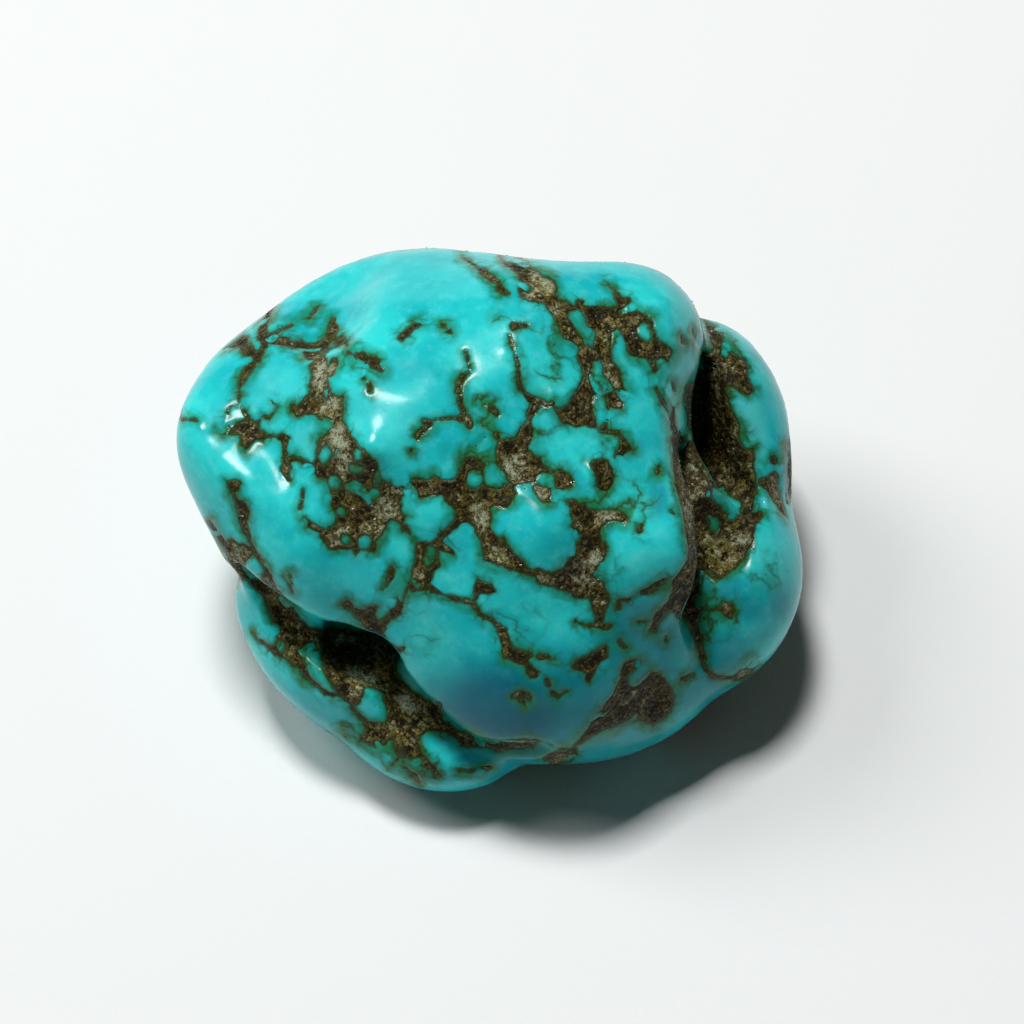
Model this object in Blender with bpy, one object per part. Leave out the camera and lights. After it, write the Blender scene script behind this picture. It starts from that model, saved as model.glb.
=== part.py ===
"""A raw turquoise nugget: one tumbled stone of rounded lobes, split on its right by a deep cleft.

Lengths are millimetres until the mesh is filled. The show face is the side of the stone that
leans back from the table by FACE_TILT. Lobes, bumps and hollows on it are placed with a face map:
whole steps of FACE_STEP, x to the right and y down, seen from VIEW_RANGE in front of the face.
The stone is one signed distance: ellipsoids joined with rounded seams, less slots cut into them.
"""

import math

import bmesh
import bpy
import numpy as np

NAME = "turquoise_nugget"
METRES = 0.001

FACE_TILT = math.radians(60.0)
FACE_STEP = 0.05
FACE_MIDDLE = 512
VIEW_RANGE = 220.0
# Where the middle of the face map is, from the point that the stone is measured from.
FACE_CENTRE = np.array((0.971, -1.297, 11.0))
FACE_FOOT = FACE_CENTRE * (1.0, 1.0, 0.0)
# The face's own directions: across, up the face and out of it.
FACE_AXES = np.array(
    (
        (1.0, 0.0, 0.0),
        (0.0, math.sin(FACE_TILT), math.cos(FACE_TILT)),
        (0.0, -math.cos(FACE_TILT), math.sin(FACE_TILT)),
    )
)

# The box that the stone is looked for in, and the size of a cell of its surface.
SEARCH_LOW = np.array((-18.0, -15.5, -1.3))
SEARCH_HIGH = np.array((17.5, 16.0, 23.0))
CELL = 0.5
BUMP_BLEND = 2.4
BASE_BLEND = 0.3

MARCH_FROM = 24.0
MARCH_STEPS = 60
MARCH_SHARE = 0.8
SETTLE_STEPS = 3
NUDGE = 0.01
LEAST_SLOPE = 0.2
RELAX_ROUNDS = 4
RELAX_SHARE = 0.5
# How much of the net is kept once its flat stretches are thinned out.
KEPT_SHARE = 0.34

# Map x, map y, depth out of the face, half-widths across, up and out, roll in degrees, blend.
LOBES = {
    "core": (458, 462, -1.2, 11.2, 10.2, 9.2, 0, 1.8),
    "left shoulder": (290, 425, -0.6, 5.6, 5.1, 5.2, 35, 1.8),
    "upper left": (347, 345, -2.6, 6.0, 3.4, 4.8, 28, 1.8),
    "upper back": (470, 360, -3.0, 9.4, 5.4, 7.2, 0, 1.8),
    "upper right": (622, 352, -0.6, 4.1, 4.4, 5.8, -25, 1.5),
    "upper ledge": (588, 334, -1.4, 4.2, 3.6, 5.2, 0, 1.6),
    "right flank": (598, 480, 0.8, 4.5, 8.0, 6.0, 0, 1.8),
    "right hip": (645, 530, 0.8, 2.3, 4.0, 5.4, 0, 1.4),
    "lower front": (542, 620, -1.6, 7.2, 7.3, 7.8, 15, 1.8),
    "lower corner": (620, 678, -3.0, 5.0, 3.8, 4.6, 25, 1.2),
    "lower left": (339, 662, -2.8, 6.4, 3.1, 3.6, -44, 1.0),
    "lower rim": (437, 733, -2.4, 4.4, 2.9, 3.2, -10, 1.0),
    "right bridge": (708, 505, -6.2, 4.2, 8.0, 5.6, 0, 1.4),
    "ear": (724, 408, -5.4, 3.0, 4.5, 4.6, 22, 1.0),
    "ear tip": (761, 452, -5.8, 1.4, 2.6, 4.0, 10, 1.0),
    "lower right": (727, 590, -3.2, 3.6, 4.9, 4.8, -18, 1.2),
}

# The sides away from the face: middle from the foot of the face map's middle, half-widths, turn
# about the height, blend.
FAR_LOBES = {
    "base": (-0.8, 1.4, 7.6, 11.4, 10.4, 8.6, 0, 2.4),
    "base left": (-6.5, -1.0, 6.4, 6.4, 6.8, 5.6, 20, 2.4),
    "base right": (7.0, -0.5, 6.6, 6.2, 7.4, 6.0, -15, 2.4),
    "back": (1.5, 6.5, 9.0, 8.6, 5.6, 7.0, 10, 2.4),
    "back left knuckle": (-6.2, 8.2, 10.4, 4.4, 3.8, 4.6, 30, 1.6),
    "back right knuckle": (7.8, 8.0, 8.6, 4.2, 3.9, 4.6, -35, 1.6),
    "left heel": (-11.2, 3.6, 8.6, 3.2, 4.4, 3.8, 10, 1.6),
}

# Map x, map y, how far the middle is sunk below the lobes, radius.
BUMPS = {
    "left ridge top": (226, 436, 1.7, 1.9),
    "left ridge": (252, 480, 2.2, 2.5),
    "left ridge foot": (288, 530, 3.0, 3.3),
    "middle dome": (385, 425, 3.7, 4.0),
    "low dome": (537, 535, 3.1, 3.4),
    "right dome": (648, 545, 2.6, 2.9),
    "top dome": (528, 350, 3.6, 3.9),
}

# Blend, then how the hollow leans as it goes out (across, up), then the map x, map y, depth
# below the lobes and radius of each point along its floor.
HOLLOWS = {
    "right cleft": (
        0.7,
        (0.45, 0.1),
        (706, 372, 2.6, 0.9),
        (707, 408, 4.2, 1.1),
        (714, 440, 4.4, 1.2),
        (732, 474, 3.0, 1.1),
        (752, 502, 1.2, 0.8),
    ),
    "right valley": (
        0.8,
        (0.8, 0.0),
        (689, 452, 1.6, 0.7),
        (694, 500, 1.8, 0.9),
        (698, 560, 1.4, 1.0),
        (698, 610, 0.7, 0.9),
        (703, 660, 0.2, 0.6),
    ),
    "right bowl": (
        1.0,
        (0.1, 0.0),
        (722, 530, 1.0, 1.3),
        (730, 550, 0.8, 1.3),
    ),
    "left crease": (
        0.9,
        (-0.6, -0.3),
        (262, 574, 0.0, 0.9),
        (278, 604, 0.6, 1.0),
        (300, 632, 1.2, 1.1),
        (322, 646, 1.6, 1.2),
    ),
    "pit": (
        0.6,
        (-0.1, -0.35),
        (344, 650, 4.4, 1.4),
        (366, 660, 4.0, 1.6),
    ),
    "trench": (
        0.7,
        (-0.2, -0.45),
        (376, 668, 2.2, 1.2),
        (404, 700, 1.5, 1.1),
        (436, 730, 1.1, 0.9),
        (470, 754, 0.8, 0.8),
        (538, 752, 0.3, 0.6),
    ),
}
# Blend, then the heading and pitch in degrees from the stone's middle, depth and radius of each
# point along the hollow's floor.
FAR_HOLLOWS = {
    "back crease": (
        1.6,
        (48, 10, 0.2, 1.2),
        (62, 20, 0.6, 1.5),
        (78, 24, 0.9, 1.7),
        (94, 20, 0.9, 1.7),
        (106, 8, 0.7, 1.5),
        (113, -10, 0.3, 1.2),
    ),
    "back dimple": (2.0, (134, 30, 0.7, 2.4), (144, 36, 0.6, 2.0)),
    "left fold": (1.4, (172, -14, 0.3, 1.2), (152, -28, 0.7, 1.5), (130, -36, 0.3, 1.2)),
    "right fold": (1.4, (22, -10, 0.2, 1.2), (10, -26, 0.6, 1.5), (-16, -36, 0.3, 1.2)),
}


def length(vectors):
    return np.sqrt((vectors * vectors).sum(axis=-1))


def on_sight_line(map_x, map_y, depth):
    """The point at this depth on the sight line through a place of the face map."""
    step = FACE_STEP * (VIEW_RANGE - depth) / VIEW_RANGE
    across = (map_x - FACE_MIDDLE) * step
    up = (FACE_MIDDLE - map_y) * step
    return FACE_CENTRE + np.array((across, up, depth)) @ FACE_AXES


def smooth_join(first, second, blend):
    """The union of two distances, rounded where they meet."""
    overlap = np.maximum(blend - np.abs(first - second), 0.0) / blend
    return np.minimum(first, second) - overlap * overlap * blend / 4


def smooth_cut(body, hollow, blend):
    """The first distance less the second, rounded at the edge."""
    return -smooth_join(-body, hollow, blend)


def rolled(axes, degrees):
    """Three directions turned about the third."""
    cosine = math.cos(math.radians(degrees))
    sine = math.sin(math.radians(degrees))
    return np.array(((cosine, sine, 0.0), (-sine, cosine, 0.0), (0.0, 0.0, 1.0))) @ axes


def ellipsoid_gap(points, centre, axes, radii):
    """The distance, true close to the surface, to an ellipsoid along three directions."""
    scaled = (points - centre) @ (axes.T / radii)
    spread = length(scaled)
    return spread * (spread - 1) / np.maximum(length(scaled / radii), 1e-9)


def slot_gap(points, floor, outward):
    """The distance to a slot: a tube along the floor, swept out of the stone for ever."""
    nearest = np.full(points.shape[:-1], np.inf)
    for (start, start_radius), (end, end_radius) in zip(floor[:-1], floor[1:]):
        along = end - start
        level = along - outward * (along @ outward)
        share = np.clip((points - start) @ level / (level @ level), 0, 1)
        away = points - start - share[..., None] * along
        rise = np.maximum(away @ outward, 0)
        radius = start_radius + share * (end_radius - start_radius)
        gap = length(away - rise[..., None] * outward) - radius
        nearest = np.minimum(nearest, gap)
    return nearest


def lobes_gap(points):
    """The distance to the joined lobes."""
    joined = np.full(points.shape[:-1], np.inf)
    for map_x, map_y, depth, *radii, roll, blend in LOBES.values():
        centre = on_sight_line(map_x, map_y, depth)
        gap = ellipsoid_gap(points, centre, rolled(FACE_AXES, roll), np.array(radii))
        joined = smooth_join(joined, gap, blend)
    for x, y, z, *radii, turn, blend in FAR_LOBES.values():
        centre = FACE_FOOT + np.array((x, y, z))
        gap = ellipsoid_gap(points, centre, rolled(np.eye(3), turn), np.array(radii))
        joined = smooth_join(joined, gap, blend)
    return joined


def on_lobes(map_x, map_y):
    """The place where a sight line of the face map meets the lobes."""
    depth = MARCH_FROM
    for _ in range(MARCH_STEPS):
        depth -= MARCH_SHARE * float(lobes_gap(on_sight_line(map_x, map_y, depth)))
    return on_sight_line(map_x, map_y, depth)


def far_side(heading, pitch):
    """The place where a ray from the stone's middle leaves the lobes, and the ray's direction."""
    heading = math.radians(heading)
    pitch = math.radians(pitch)
    level = math.cos(pitch)
    ray = np.array((math.cos(heading) * level, math.sin(heading) * level, math.sin(pitch)))
    reach = MARCH_FROM
    for _ in range(MARCH_STEPS):
        reach -= MARCH_SHARE * float(lobes_gap(FACE_CENTRE + ray * reach))
    return FACE_CENTRE + ray * reach, ray


class Stone:
    """The stone as one signed distance, negative inside."""

    def __init__(self):
        self.bumps = []
        for map_x, map_y, sink, radius in BUMPS.values():
            self.bumps.append((on_lobes(map_x, map_y) - sink * FACE_AXES[2], radius))
        self.hollows = []
        for blend, lean, *places in HOLLOWS.values():
            outward = np.array((*lean, 1.0)) @ FACE_AXES
            outward /= length(outward)
            floor = []
            for map_x, map_y, depth, radius in places:
                floor.append((on_lobes(map_x, map_y) - (depth - radius) * outward, radius))
            self.hollows.append((blend, outward, floor))
        for blend, *places in FAR_HOLLOWS.values():
            mouths = [far_side(heading, pitch) for heading, pitch, *_ in places]
            outward = sum(ray for _, ray in mouths)
            outward /= length(outward)
            floor = []
            for (mouth, _), (_, _, depth, radius) in zip(mouths, places):
                floor.append((mouth - (depth - radius) * outward, radius))
            self.hollows.append((blend, outward, floor))

    def gap(self, points):
        body = lobes_gap(points)
        for middle, radius in self.bumps:
            body = smooth_join(body, length(points - middle) - radius, BUMP_BLEND)
        for blend, outward, floor in self.hollows:
            body = smooth_cut(body, slot_gap(points, floor, outward), blend)
        return smooth_cut(body, points[..., 2], BASE_BLEND)

    def settled(self, points):
        """Points moved onto the surface along its slope."""
        for _ in range(SETTLE_STEPS):
            gap = self.gap(points)
            slope = np.empty_like(points)
            for axis, nudge in enumerate(np.eye(3) * NUDGE):
                slope[:, axis] = (self.gap(points + nudge) - gap) / NUDGE
            steep = np.maximum((slope * slope).sum(axis=1), LEAST_SLOPE)
            points = points - slope * (gap / steep)[:, None]
        return points


def blurred(field):
    """The field with each value mixed with its neighbours', so that it has no thin wall or gap."""
    for axis in range(3):
        sides = np.moveaxis(field, axis, 0)
        middle = (sides[:-2] + 2 * sides[1:-1] + sides[2:]) / 4
        field = np.moveaxis(np.concatenate((sides[:1], middle, sides[-1:])), 0, axis)
    return field


def net_of(inside):
    """A net around the corners that are inside: the cells it knots in, and its squares.

    Each cell of the grid whose corners aren't all alike holds one knot. Each grid line that
    passes from inside to outside is ringed by one square, through the knots of its four cells.
    """
    near_all = inside[:-1] & inside[1:]
    near_any = inside[:-1] | inside[1:]
    for axis in (1, 2):
        near_all = np.moveaxis(near_all, axis, 0)
        near_any = np.moveaxis(near_any, axis, 0)
        near_all = np.moveaxis(near_all[:-1] & near_all[1:], 0, axis)
        near_any = np.moveaxis(near_any[:-1] | near_any[1:], 0, axis)
    knotted = near_any & ~near_all
    number = np.cumsum(knotted.ravel()).reshape(knotted.shape) - 1

    squares = []
    for axis in range(3):
        sides = np.moveaxis(inside, axis, 0)[:, 1:-1, 1:-1]
        cells = np.moveaxis(number, axis, 0)
        ring = (cells[:, :-1, :-1], cells[:, 1:, :-1], cells[:, 1:, 1:], cells[:, :-1, 1:])
        outward_along = (1, -1, 1)[axis]
        for leaving, order in ((True, outward_along), (False, -outward_along)):
            crossed = (sides[:-1] == leaving) & (sides[1:] != leaving)
            squares.append(np.stack([corner[crossed] for corner in ring], axis=1)[:, ::order])
    return np.argwhere(knotted), np.concatenate(squares)


def relaxed(points, squares, stone):
    """The points evened out over the surface, each drawn to the middle of its neighbours."""
    first = squares.ravel()
    second = np.roll(squares, -1, axis=1).ravel()
    share = np.bincount(first, minlength=len(points))[:, None]
    for _ in range(RELAX_ROUNDS):
        pull = np.zeros_like(points)
        np.add.at(pull, first, points[second])
        points = stone.settled(points + RELAX_SHARE * (pull / share - points))
    return points


def stone_mesh():
    """The stone's surface, from a net of cells drawn tight onto it."""
    sides = [np.arange(low, high, CELL) for low, high in zip(SEARCH_LOW, SEARCH_HIGH)]
    corners = np.stack(np.meshgrid(*sides, indexing="ij"), axis=-1)
    stone = Stone()
    cells, squares = net_of(blurred(stone.gap(corners)) < 0)
    knots = SEARCH_LOW + (cells + 0.5) * CELL
    points = relaxed(stone.settled(knots), squares, stone)

    mesh = bpy.data.meshes.new(NAME)
    mesh.from_pydata((points * METRES).tolist(), [], squares.tolist())
    surface = bmesh.new()
    surface.from_mesh(mesh)
    bmesh.ops.recalc_face_normals(surface, faces=surface.faces)
    surface.to_mesh(mesh)
    surface.free()
    return mesh


def turquoise():
    """Waxy sky-blue turquoise, polished by tumbling."""
    material = bpy.data.materials.new("turquoise")
    material.use_nodes = True
    shader = material.node_tree.nodes["Principled BSDF"]
    shader.inputs["Base Color"].default_value = (0.03, 0.43, 0.46, 1.0)
    shader.inputs["Roughness"].default_value = 0.22
    shader.inputs["Metallic"].default_value = 0.0
    return material


def main():
    for leftover in list(bpy.data.objects):
        bpy.data.objects.remove(leftover)
    collection = bpy.data.collections.new(NAME)
    bpy.context.scene.collection.children.link(collection)
    mesh = stone_mesh()
    mesh.materials.append(turquoise())
    mesh.shade_smooth()
    nugget = bpy.data.objects.new(NAME, mesh)
    collection.objects.link(nugget)
    thinned = nugget.modifiers.new("Thinned", "DECIMATE")
    thinned.ratio = KEPT_SHARE


if __name__ == "__main__":
    main()
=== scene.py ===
"""The looks of a raw turquoise nugget: its veined skin, the grains set in its matrix and a stage.

The frame is in metres. The law of the stone's shape is worked out in millimetres and turned to
metres where a mesh is filled. The markings of its show face are laid out on a face map: whole
steps of FACE_STEP, x to the right and y down, seen from VIEW_RANGE in front of the face.
"""

import itertools
import math

import bpy
import numpy as np
from bpy.props import FloatProperty, FloatVectorProperty, IntProperty, PointerProperty
from mathutils import Matrix, Vector


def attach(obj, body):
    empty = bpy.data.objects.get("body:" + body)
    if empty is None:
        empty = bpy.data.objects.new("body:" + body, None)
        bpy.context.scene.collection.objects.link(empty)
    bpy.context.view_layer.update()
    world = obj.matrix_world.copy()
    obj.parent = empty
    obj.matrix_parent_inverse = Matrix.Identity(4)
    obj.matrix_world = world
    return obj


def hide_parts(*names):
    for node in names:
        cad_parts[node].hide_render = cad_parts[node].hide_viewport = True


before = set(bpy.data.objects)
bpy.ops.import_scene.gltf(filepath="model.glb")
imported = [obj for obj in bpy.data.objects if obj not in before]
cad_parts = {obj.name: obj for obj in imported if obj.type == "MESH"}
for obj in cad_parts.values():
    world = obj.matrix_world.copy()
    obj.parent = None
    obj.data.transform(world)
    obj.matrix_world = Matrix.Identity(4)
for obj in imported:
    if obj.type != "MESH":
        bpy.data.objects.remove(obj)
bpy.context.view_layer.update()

bl_info = {
    "name": "Turquoise Nugget",
    "version": (1, 0, 0),
    "blender": (4, 5, 0),
    "location": "View3D > Sidebar > Nugget",
    "description": "Builds the skin, grains and stage of a raw turquoise nugget",
    "category": "Object",
}

SOLID = "turquoise_nugget"
BODY = "root"
METRES = 0.001
TINY = 1e-9

# The face map: how far the show face leans back, one step in millimetres, the middle in steps, and
# how far in front of the middle the map is seen from.
FACE_TILT = math.radians(60.0)
FACE_STEP = 0.05
FACE_MIDDLE = 512
VIEW_RANGE = 220.0
# The place of the map's middle, and the place on the floor under it.
FACE_CENTRE = np.array((0.971, -1.297, 11.0))
FACE_FOOT = FACE_CENTRE * (1.0, 1.0, 0.0)
# The face's own directions: across, up the face and out of it.
FACE_AXES = np.array(
    (
        (1.0, 0.0, 0.0),
        (0.0, math.sin(FACE_TILT), math.cos(FACE_TILT)),
        (0.0, -math.cos(FACE_TILT), math.sin(FACE_TILT)),
    )
)

# The box that the stone is looked for in, and how widely the bumps and the flat foot are rounded.
SEARCH_LOW = np.array((-18.0, -15.5, -1.3))
SEARCH_HIGH = np.array((17.5, 16.0, 23.0))
BUMP_BLEND = 2.4
BASE_BLEND = 0.3
# The walk along a line to the lobes: where it starts, its steps and each one's share of the gap.
MARCH_FROM = 24.0
MARCH_STEPS = 60
MARCH_SHARE = 0.8
# How points settle on the stone: the tries, the nudge that finds the slope, and the least slope.
SETTLE_STEPS = 3
NUDGE = 0.01
LEAST_SLOPE = 0.2
# How the mesh is evened: the rounds before its sides are halved and after, and each one's share.
RELAX_ROUNDS = 4
LAST_ROUNDS = 2
RELAX_SHARE = 0.5
# The mesh, in millimetres: the first net's cell, the longest side near a marking's edge, the margin
# that counts as near, how the longest side grows beyond it, its most, how much longer it is on the
# far sides and its least there, and the rounds of halving.
NET_CELL = 0.4
FINE_SIDE = 0.15
FINE_MARGIN = 0.15
SIDE_GROWTH = 0.55
COARSE_SIDE = 0.42
HIDDEN_GROWTH = 2.2
HIDDEN_SIDE = 0.7
SPLIT_ROUNDS = 3

# How far from an outline the markings are still measured, in steps of the face map.
MARK_REACH = 14.0
# The cosine of the slant from which a surface counts in full as show face.
FULLY_SHOWN = 0.2
# A soft spot's tint is full within the first of these shares of its size, and gone past the second.
SPOT_CORE = 0.35
SPOT_RIM = 1.35

# What mixes a lattice cell's three numbers, its seed and their bits, and the bits that are kept.
CELL_MIX = (73856093, 19349663, 83492791)
SEED_MIX = 2654435761
BIT_MIX = 1274126177
BITS_KEPT = 0xFFFFFF

# Noises as layers, each a strength, the millimetres between lattice points, and a seed.
VEIN_SWING = ((0.55, 7.0, 31),)
WEB_ZONE = ((1.0, 8.0, 51), (0.35, 2.6, 52))
GRIT = ((0.6, 0.62, 71), (0.9, 0.26, 72), (0.6, 0.14, 73))
SWELL = ((0.032, 2.8, 74), (0.012, 1.0, 75))
# The far sides' matrix, in millimetres: how far its lines wander, over what distance, the veins'
# mean half-width and spacing, the level of its noise that the finer web grows from, its growth, its
# greatest half-width and its spacing.
WANDER = 0.9
WANDER_GRAIN = 2.4
WANDER_SEED = 20
VEIN_WIDTH = 0.2
VEIN_SPACING = 6.5
VEIN_SEED = 41
WEB_FROM = 0.12
WEB_GROWTH = 1.5
WEB_WIDTH = 0.32
WEB_SPACING = 2.5
WEB_SEED = 61
# The far sides' tints: the first one's noise, from whose seeds the others' count on, the levels at
# which a tint starts and is full, and its full strength.
FAR_TINT = ((1.0, 3.2, 80), (0.4, 1.3, 90))
FAR_TINT_LEVELS = (0.05, 0.7)
FAR_TINT_STRENGTH = 0.7

# Where the relief changes, in millimetres inside the edge of the matrix: the step down at the edge,
# the further one in wide patches, where grit starts, and where the turquoise's swell ends.
EDGE_STEP = (-0.25, 0.3)
PATCH_STEP = (0.15, 0.9)
GRIT_START = (0.05, 0.3)
SWELL_END = (-0.1, 0.1)

# The crystals: where they start inside the edge, how many lie where no sand does, the share of a
# half-width that they are sunk, how they are stretched, and how rare the large ones are.
CRYSTAL_START = (0.03, 0.15)
CRYSTALS_WITHOUT_SAND = 0.35
CRYSTAL_SUNK = 0.35
CRYSTAL_STRETCH = (0.6, 1.35)
LARGE_RARITY = 2.5
# A crystal's tone: a random part, a part for the sand that it lies in, and a start.
TONE_RANDOM = 0.7
TONE_SAND = 0.6
TONE_START = 0.1
OCTAHEDRON = np.array(((1, 0, 0), (-1, 0, 0), (0, 1, 0), (0, -1, 0), (0, 0, 1), (0, 0, -1)), float)
OCTAHEDRON_FACES = np.array(
    ((0, 2, 4), (2, 1, 4), (1, 3, 4), (3, 0, 4), (2, 0, 5), (1, 2, 5), (3, 1, 5), (0, 3, 5))
)

# The matrix's cell patterns in the shader, in cells to a millimetre.
GRAIN_CELLS = 5.0
FINE_CELLS = 10.0
# Heights of the shader's relief, in millimetres: of the matrix's cells, fine cells and clods, of
# the turquoise's waves and tooth, of the dip at its rim, and of the crystals' and the card's tooth.
GRAIN_RISE = 0.035
FINE_RISE = 0.015
CLOD_RISE = 0.08
WAVE_RISE = 0.004
TOOTH_RISE = 0.0006
RIM_DIP = 0.02
CRYSTAL_RISE = 0.01
CARD_RISE = 0.01
# Roughness: of the matrix, what a glint takes off it, and the least and the range of the others.
ROCK_ROUGHNESS = 0.6
GLINT_POLISH = 0.4
STONE_ROUGHNESS = (0.12, 0.14)
CRYSTAL_ROUGHNESS = (0.12, 0.3)
CARD_ROUGHNESS = (0.75, 0.15)
STONE_IOR = 1.25
CRYSTAL_IOR = 1.55
CARD_SPECULAR = 0.2
CARD_TOOTH = (0.7, 0.71, 0.71)
CARD_CLOUD = (0.74, 0.75, 0.76)

# How far from the face centre the lamps hang, in millimetres. Each lamp has its direction from
# there, its side in millimetres, and whether it shows as a highlight.
LAMP_DISTANCE = 600.0
KEY_LAMP = ((-0.15, 0.24, 1.0), 118.0, True)
SIDE_LAMP = ((-0.75, 0.3, 0.85), 260.0, False)
SKY = (0.93, 0.97, 1.0)
SENSOR = 36.0
NEAREST_SEEN = 0.01
FARTHEST_SEEN = 10.0

# The stone's lobes on the show face: map x, map y, depth out of the face, half-widths across, up
# and out, roll in degrees, blend. All but the places on the map are in millimetres.
LOBES = {
    "core": (458, 462, -1.2, 11.2, 10.2, 9.2, 0, 1.8),
    "left shoulder": (290, 425, -0.6, 5.6, 5.1, 5.2, 35, 1.8),
    "upper left": (347, 345, -2.6, 6.0, 3.4, 4.8, 28, 1.8),
    "upper back": (470, 360, -3.0, 9.4, 5.4, 7.2, 0, 1.8),
    "upper right": (622, 352, -0.6, 4.1, 4.4, 5.8, -25, 1.5),
    "upper ledge": (588, 334, -1.4, 4.2, 3.6, 5.2, 0, 1.6),
    "right flank": (598, 480, 0.8, 4.5, 8.0, 6.0, 0, 1.8),
    "right hip": (645, 530, 0.8, 2.3, 4.0, 5.4, 0, 1.4),
    "lower front": (542, 620, -1.6, 7.2, 7.3, 7.8, 15, 1.8),
    "lower corner": (620, 678, -3.0, 5.0, 3.8, 4.6, 25, 1.2),
    "lower left": (339, 662, -2.8, 6.4, 3.1, 3.6, -44, 1.0),
    "lower rim": (437, 733, -2.4, 4.4, 2.9, 3.2, -10, 1.0),
    "right bridge": (708, 505, -6.2, 4.2, 8.0, 5.6, 0, 1.4),
    "ear": (724, 408, -5.4, 3.0, 4.5, 4.6, 22, 1.0),
    "ear tip": (761, 452, -5.8, 1.4, 2.6, 4.0, 10, 1.0),
    "lower right": (727, 590, -3.2, 3.6, 4.9, 4.8, -18, 1.2),
}

# The sides away from the face: middle from the foot of the face map's middle, half-widths, turn
# about the height, blend.
FAR_LOBES = {
    "base": (-0.8, 1.4, 7.6, 11.4, 10.4, 8.6, 0, 2.4),
    "base left": (-6.5, -1.0, 6.4, 6.4, 6.8, 5.6, 20, 2.4),
    "base right": (7.0, -0.5, 6.6, 6.2, 7.4, 6.0, -15, 2.4),
    "back": (1.5, 6.5, 9.0, 8.6, 5.6, 7.0, 10, 2.4),
    "back left knuckle": (-6.2, 8.2, 10.4, 4.4, 3.8, 4.6, 30, 1.6),
    "back right knuckle": (7.8, 8.0, 8.6, 4.2, 3.9, 4.6, -35, 1.6),
    "left heel": (-11.2, 3.6, 8.6, 3.2, 4.4, 3.8, 10, 1.6),
}

# Map x, map y, how far the middle is sunk below the lobes, radius.
BUMPS = {
    "left ridge top": (226, 436, 1.7, 1.9),
    "left ridge": (252, 480, 2.2, 2.5),
    "left ridge foot": (288, 530, 3.0, 3.3),
    "middle dome": (385, 425, 3.7, 4.0),
    "low dome": (537, 535, 3.1, 3.4),
    "right dome": (648, 545, 2.6, 2.9),
    "top dome": (528, 350, 3.6, 3.9),
}

# Blend, then how the hollow leans as it goes out (across, up), then the map x, map y, depth
# below the lobes and radius of each point along its floor.
HOLLOWS = {
    "right cleft": (
        0.7,
        (0.45, 0.1),
        (706, 372, 2.6, 0.9),
        (707, 408, 4.2, 1.1),
        (714, 440, 4.4, 1.2),
        (732, 474, 3.0, 1.1),
        (752, 502, 1.2, 0.8),
    ),
    "right valley": (
        0.8,
        (0.8, 0.0),
        (689, 452, 1.6, 0.7),
        (694, 500, 1.8, 0.9),
        (698, 560, 1.4, 1.0),
        (698, 610, 0.7, 0.9),
        (703, 660, 0.2, 0.6),
    ),
    "right bowl": (
        1.0,
        (0.1, 0.0),
        (722, 530, 1.0, 1.3),
        (730, 550, 0.8, 1.3),
    ),
    "left crease": (
        0.9,
        (-0.6, -0.3),
        (262, 574, 0.0, 0.9),
        (278, 604, 0.6, 1.0),
        (300, 632, 1.2, 1.1),
        (322, 646, 1.6, 1.2),
    ),
    "pit": (
        0.6,
        (-0.1, -0.35),
        (344, 650, 4.4, 1.4),
        (366, 660, 4.0, 1.6),
    ),
    "trench": (
        0.7,
        (-0.2, -0.45),
        (376, 668, 2.2, 1.2),
        (404, 700, 1.5, 1.1),
        (436, 730, 1.1, 0.9),
        (470, 754, 0.8, 0.8),
        (538, 752, 0.3, 0.6),
    ),
}

# The far sides' hollows: blend, then the heading and pitch in degrees from the stone's middle,
# the depth and the radius of each point along the floor.
FAR_HOLLOWS = {
    "back crease": (
        1.6,
        (48, 10, 0.2, 1.2),
        (62, 20, 0.6, 1.5),
        (78, 24, 0.9, 1.7),
        (94, 20, 0.9, 1.7),
        (106, 8, 0.7, 1.5),
        (113, -10, 0.3, 1.2),
    ),
    "back dimple": (2.0, (134, 30, 0.7, 2.4), (144, 36, 0.6, 2.0)),
    "left fold": (1.4, (172, -14, 0.3, 1.2), (152, -28, 0.7, 1.5), (130, -36, 0.3, 1.2)),
    "right fold": (1.4, (22, -10, 0.2, 1.2), (10, -26, 0.6, 1.5), (-16, -36, 0.3, 1.2)),
}

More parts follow.
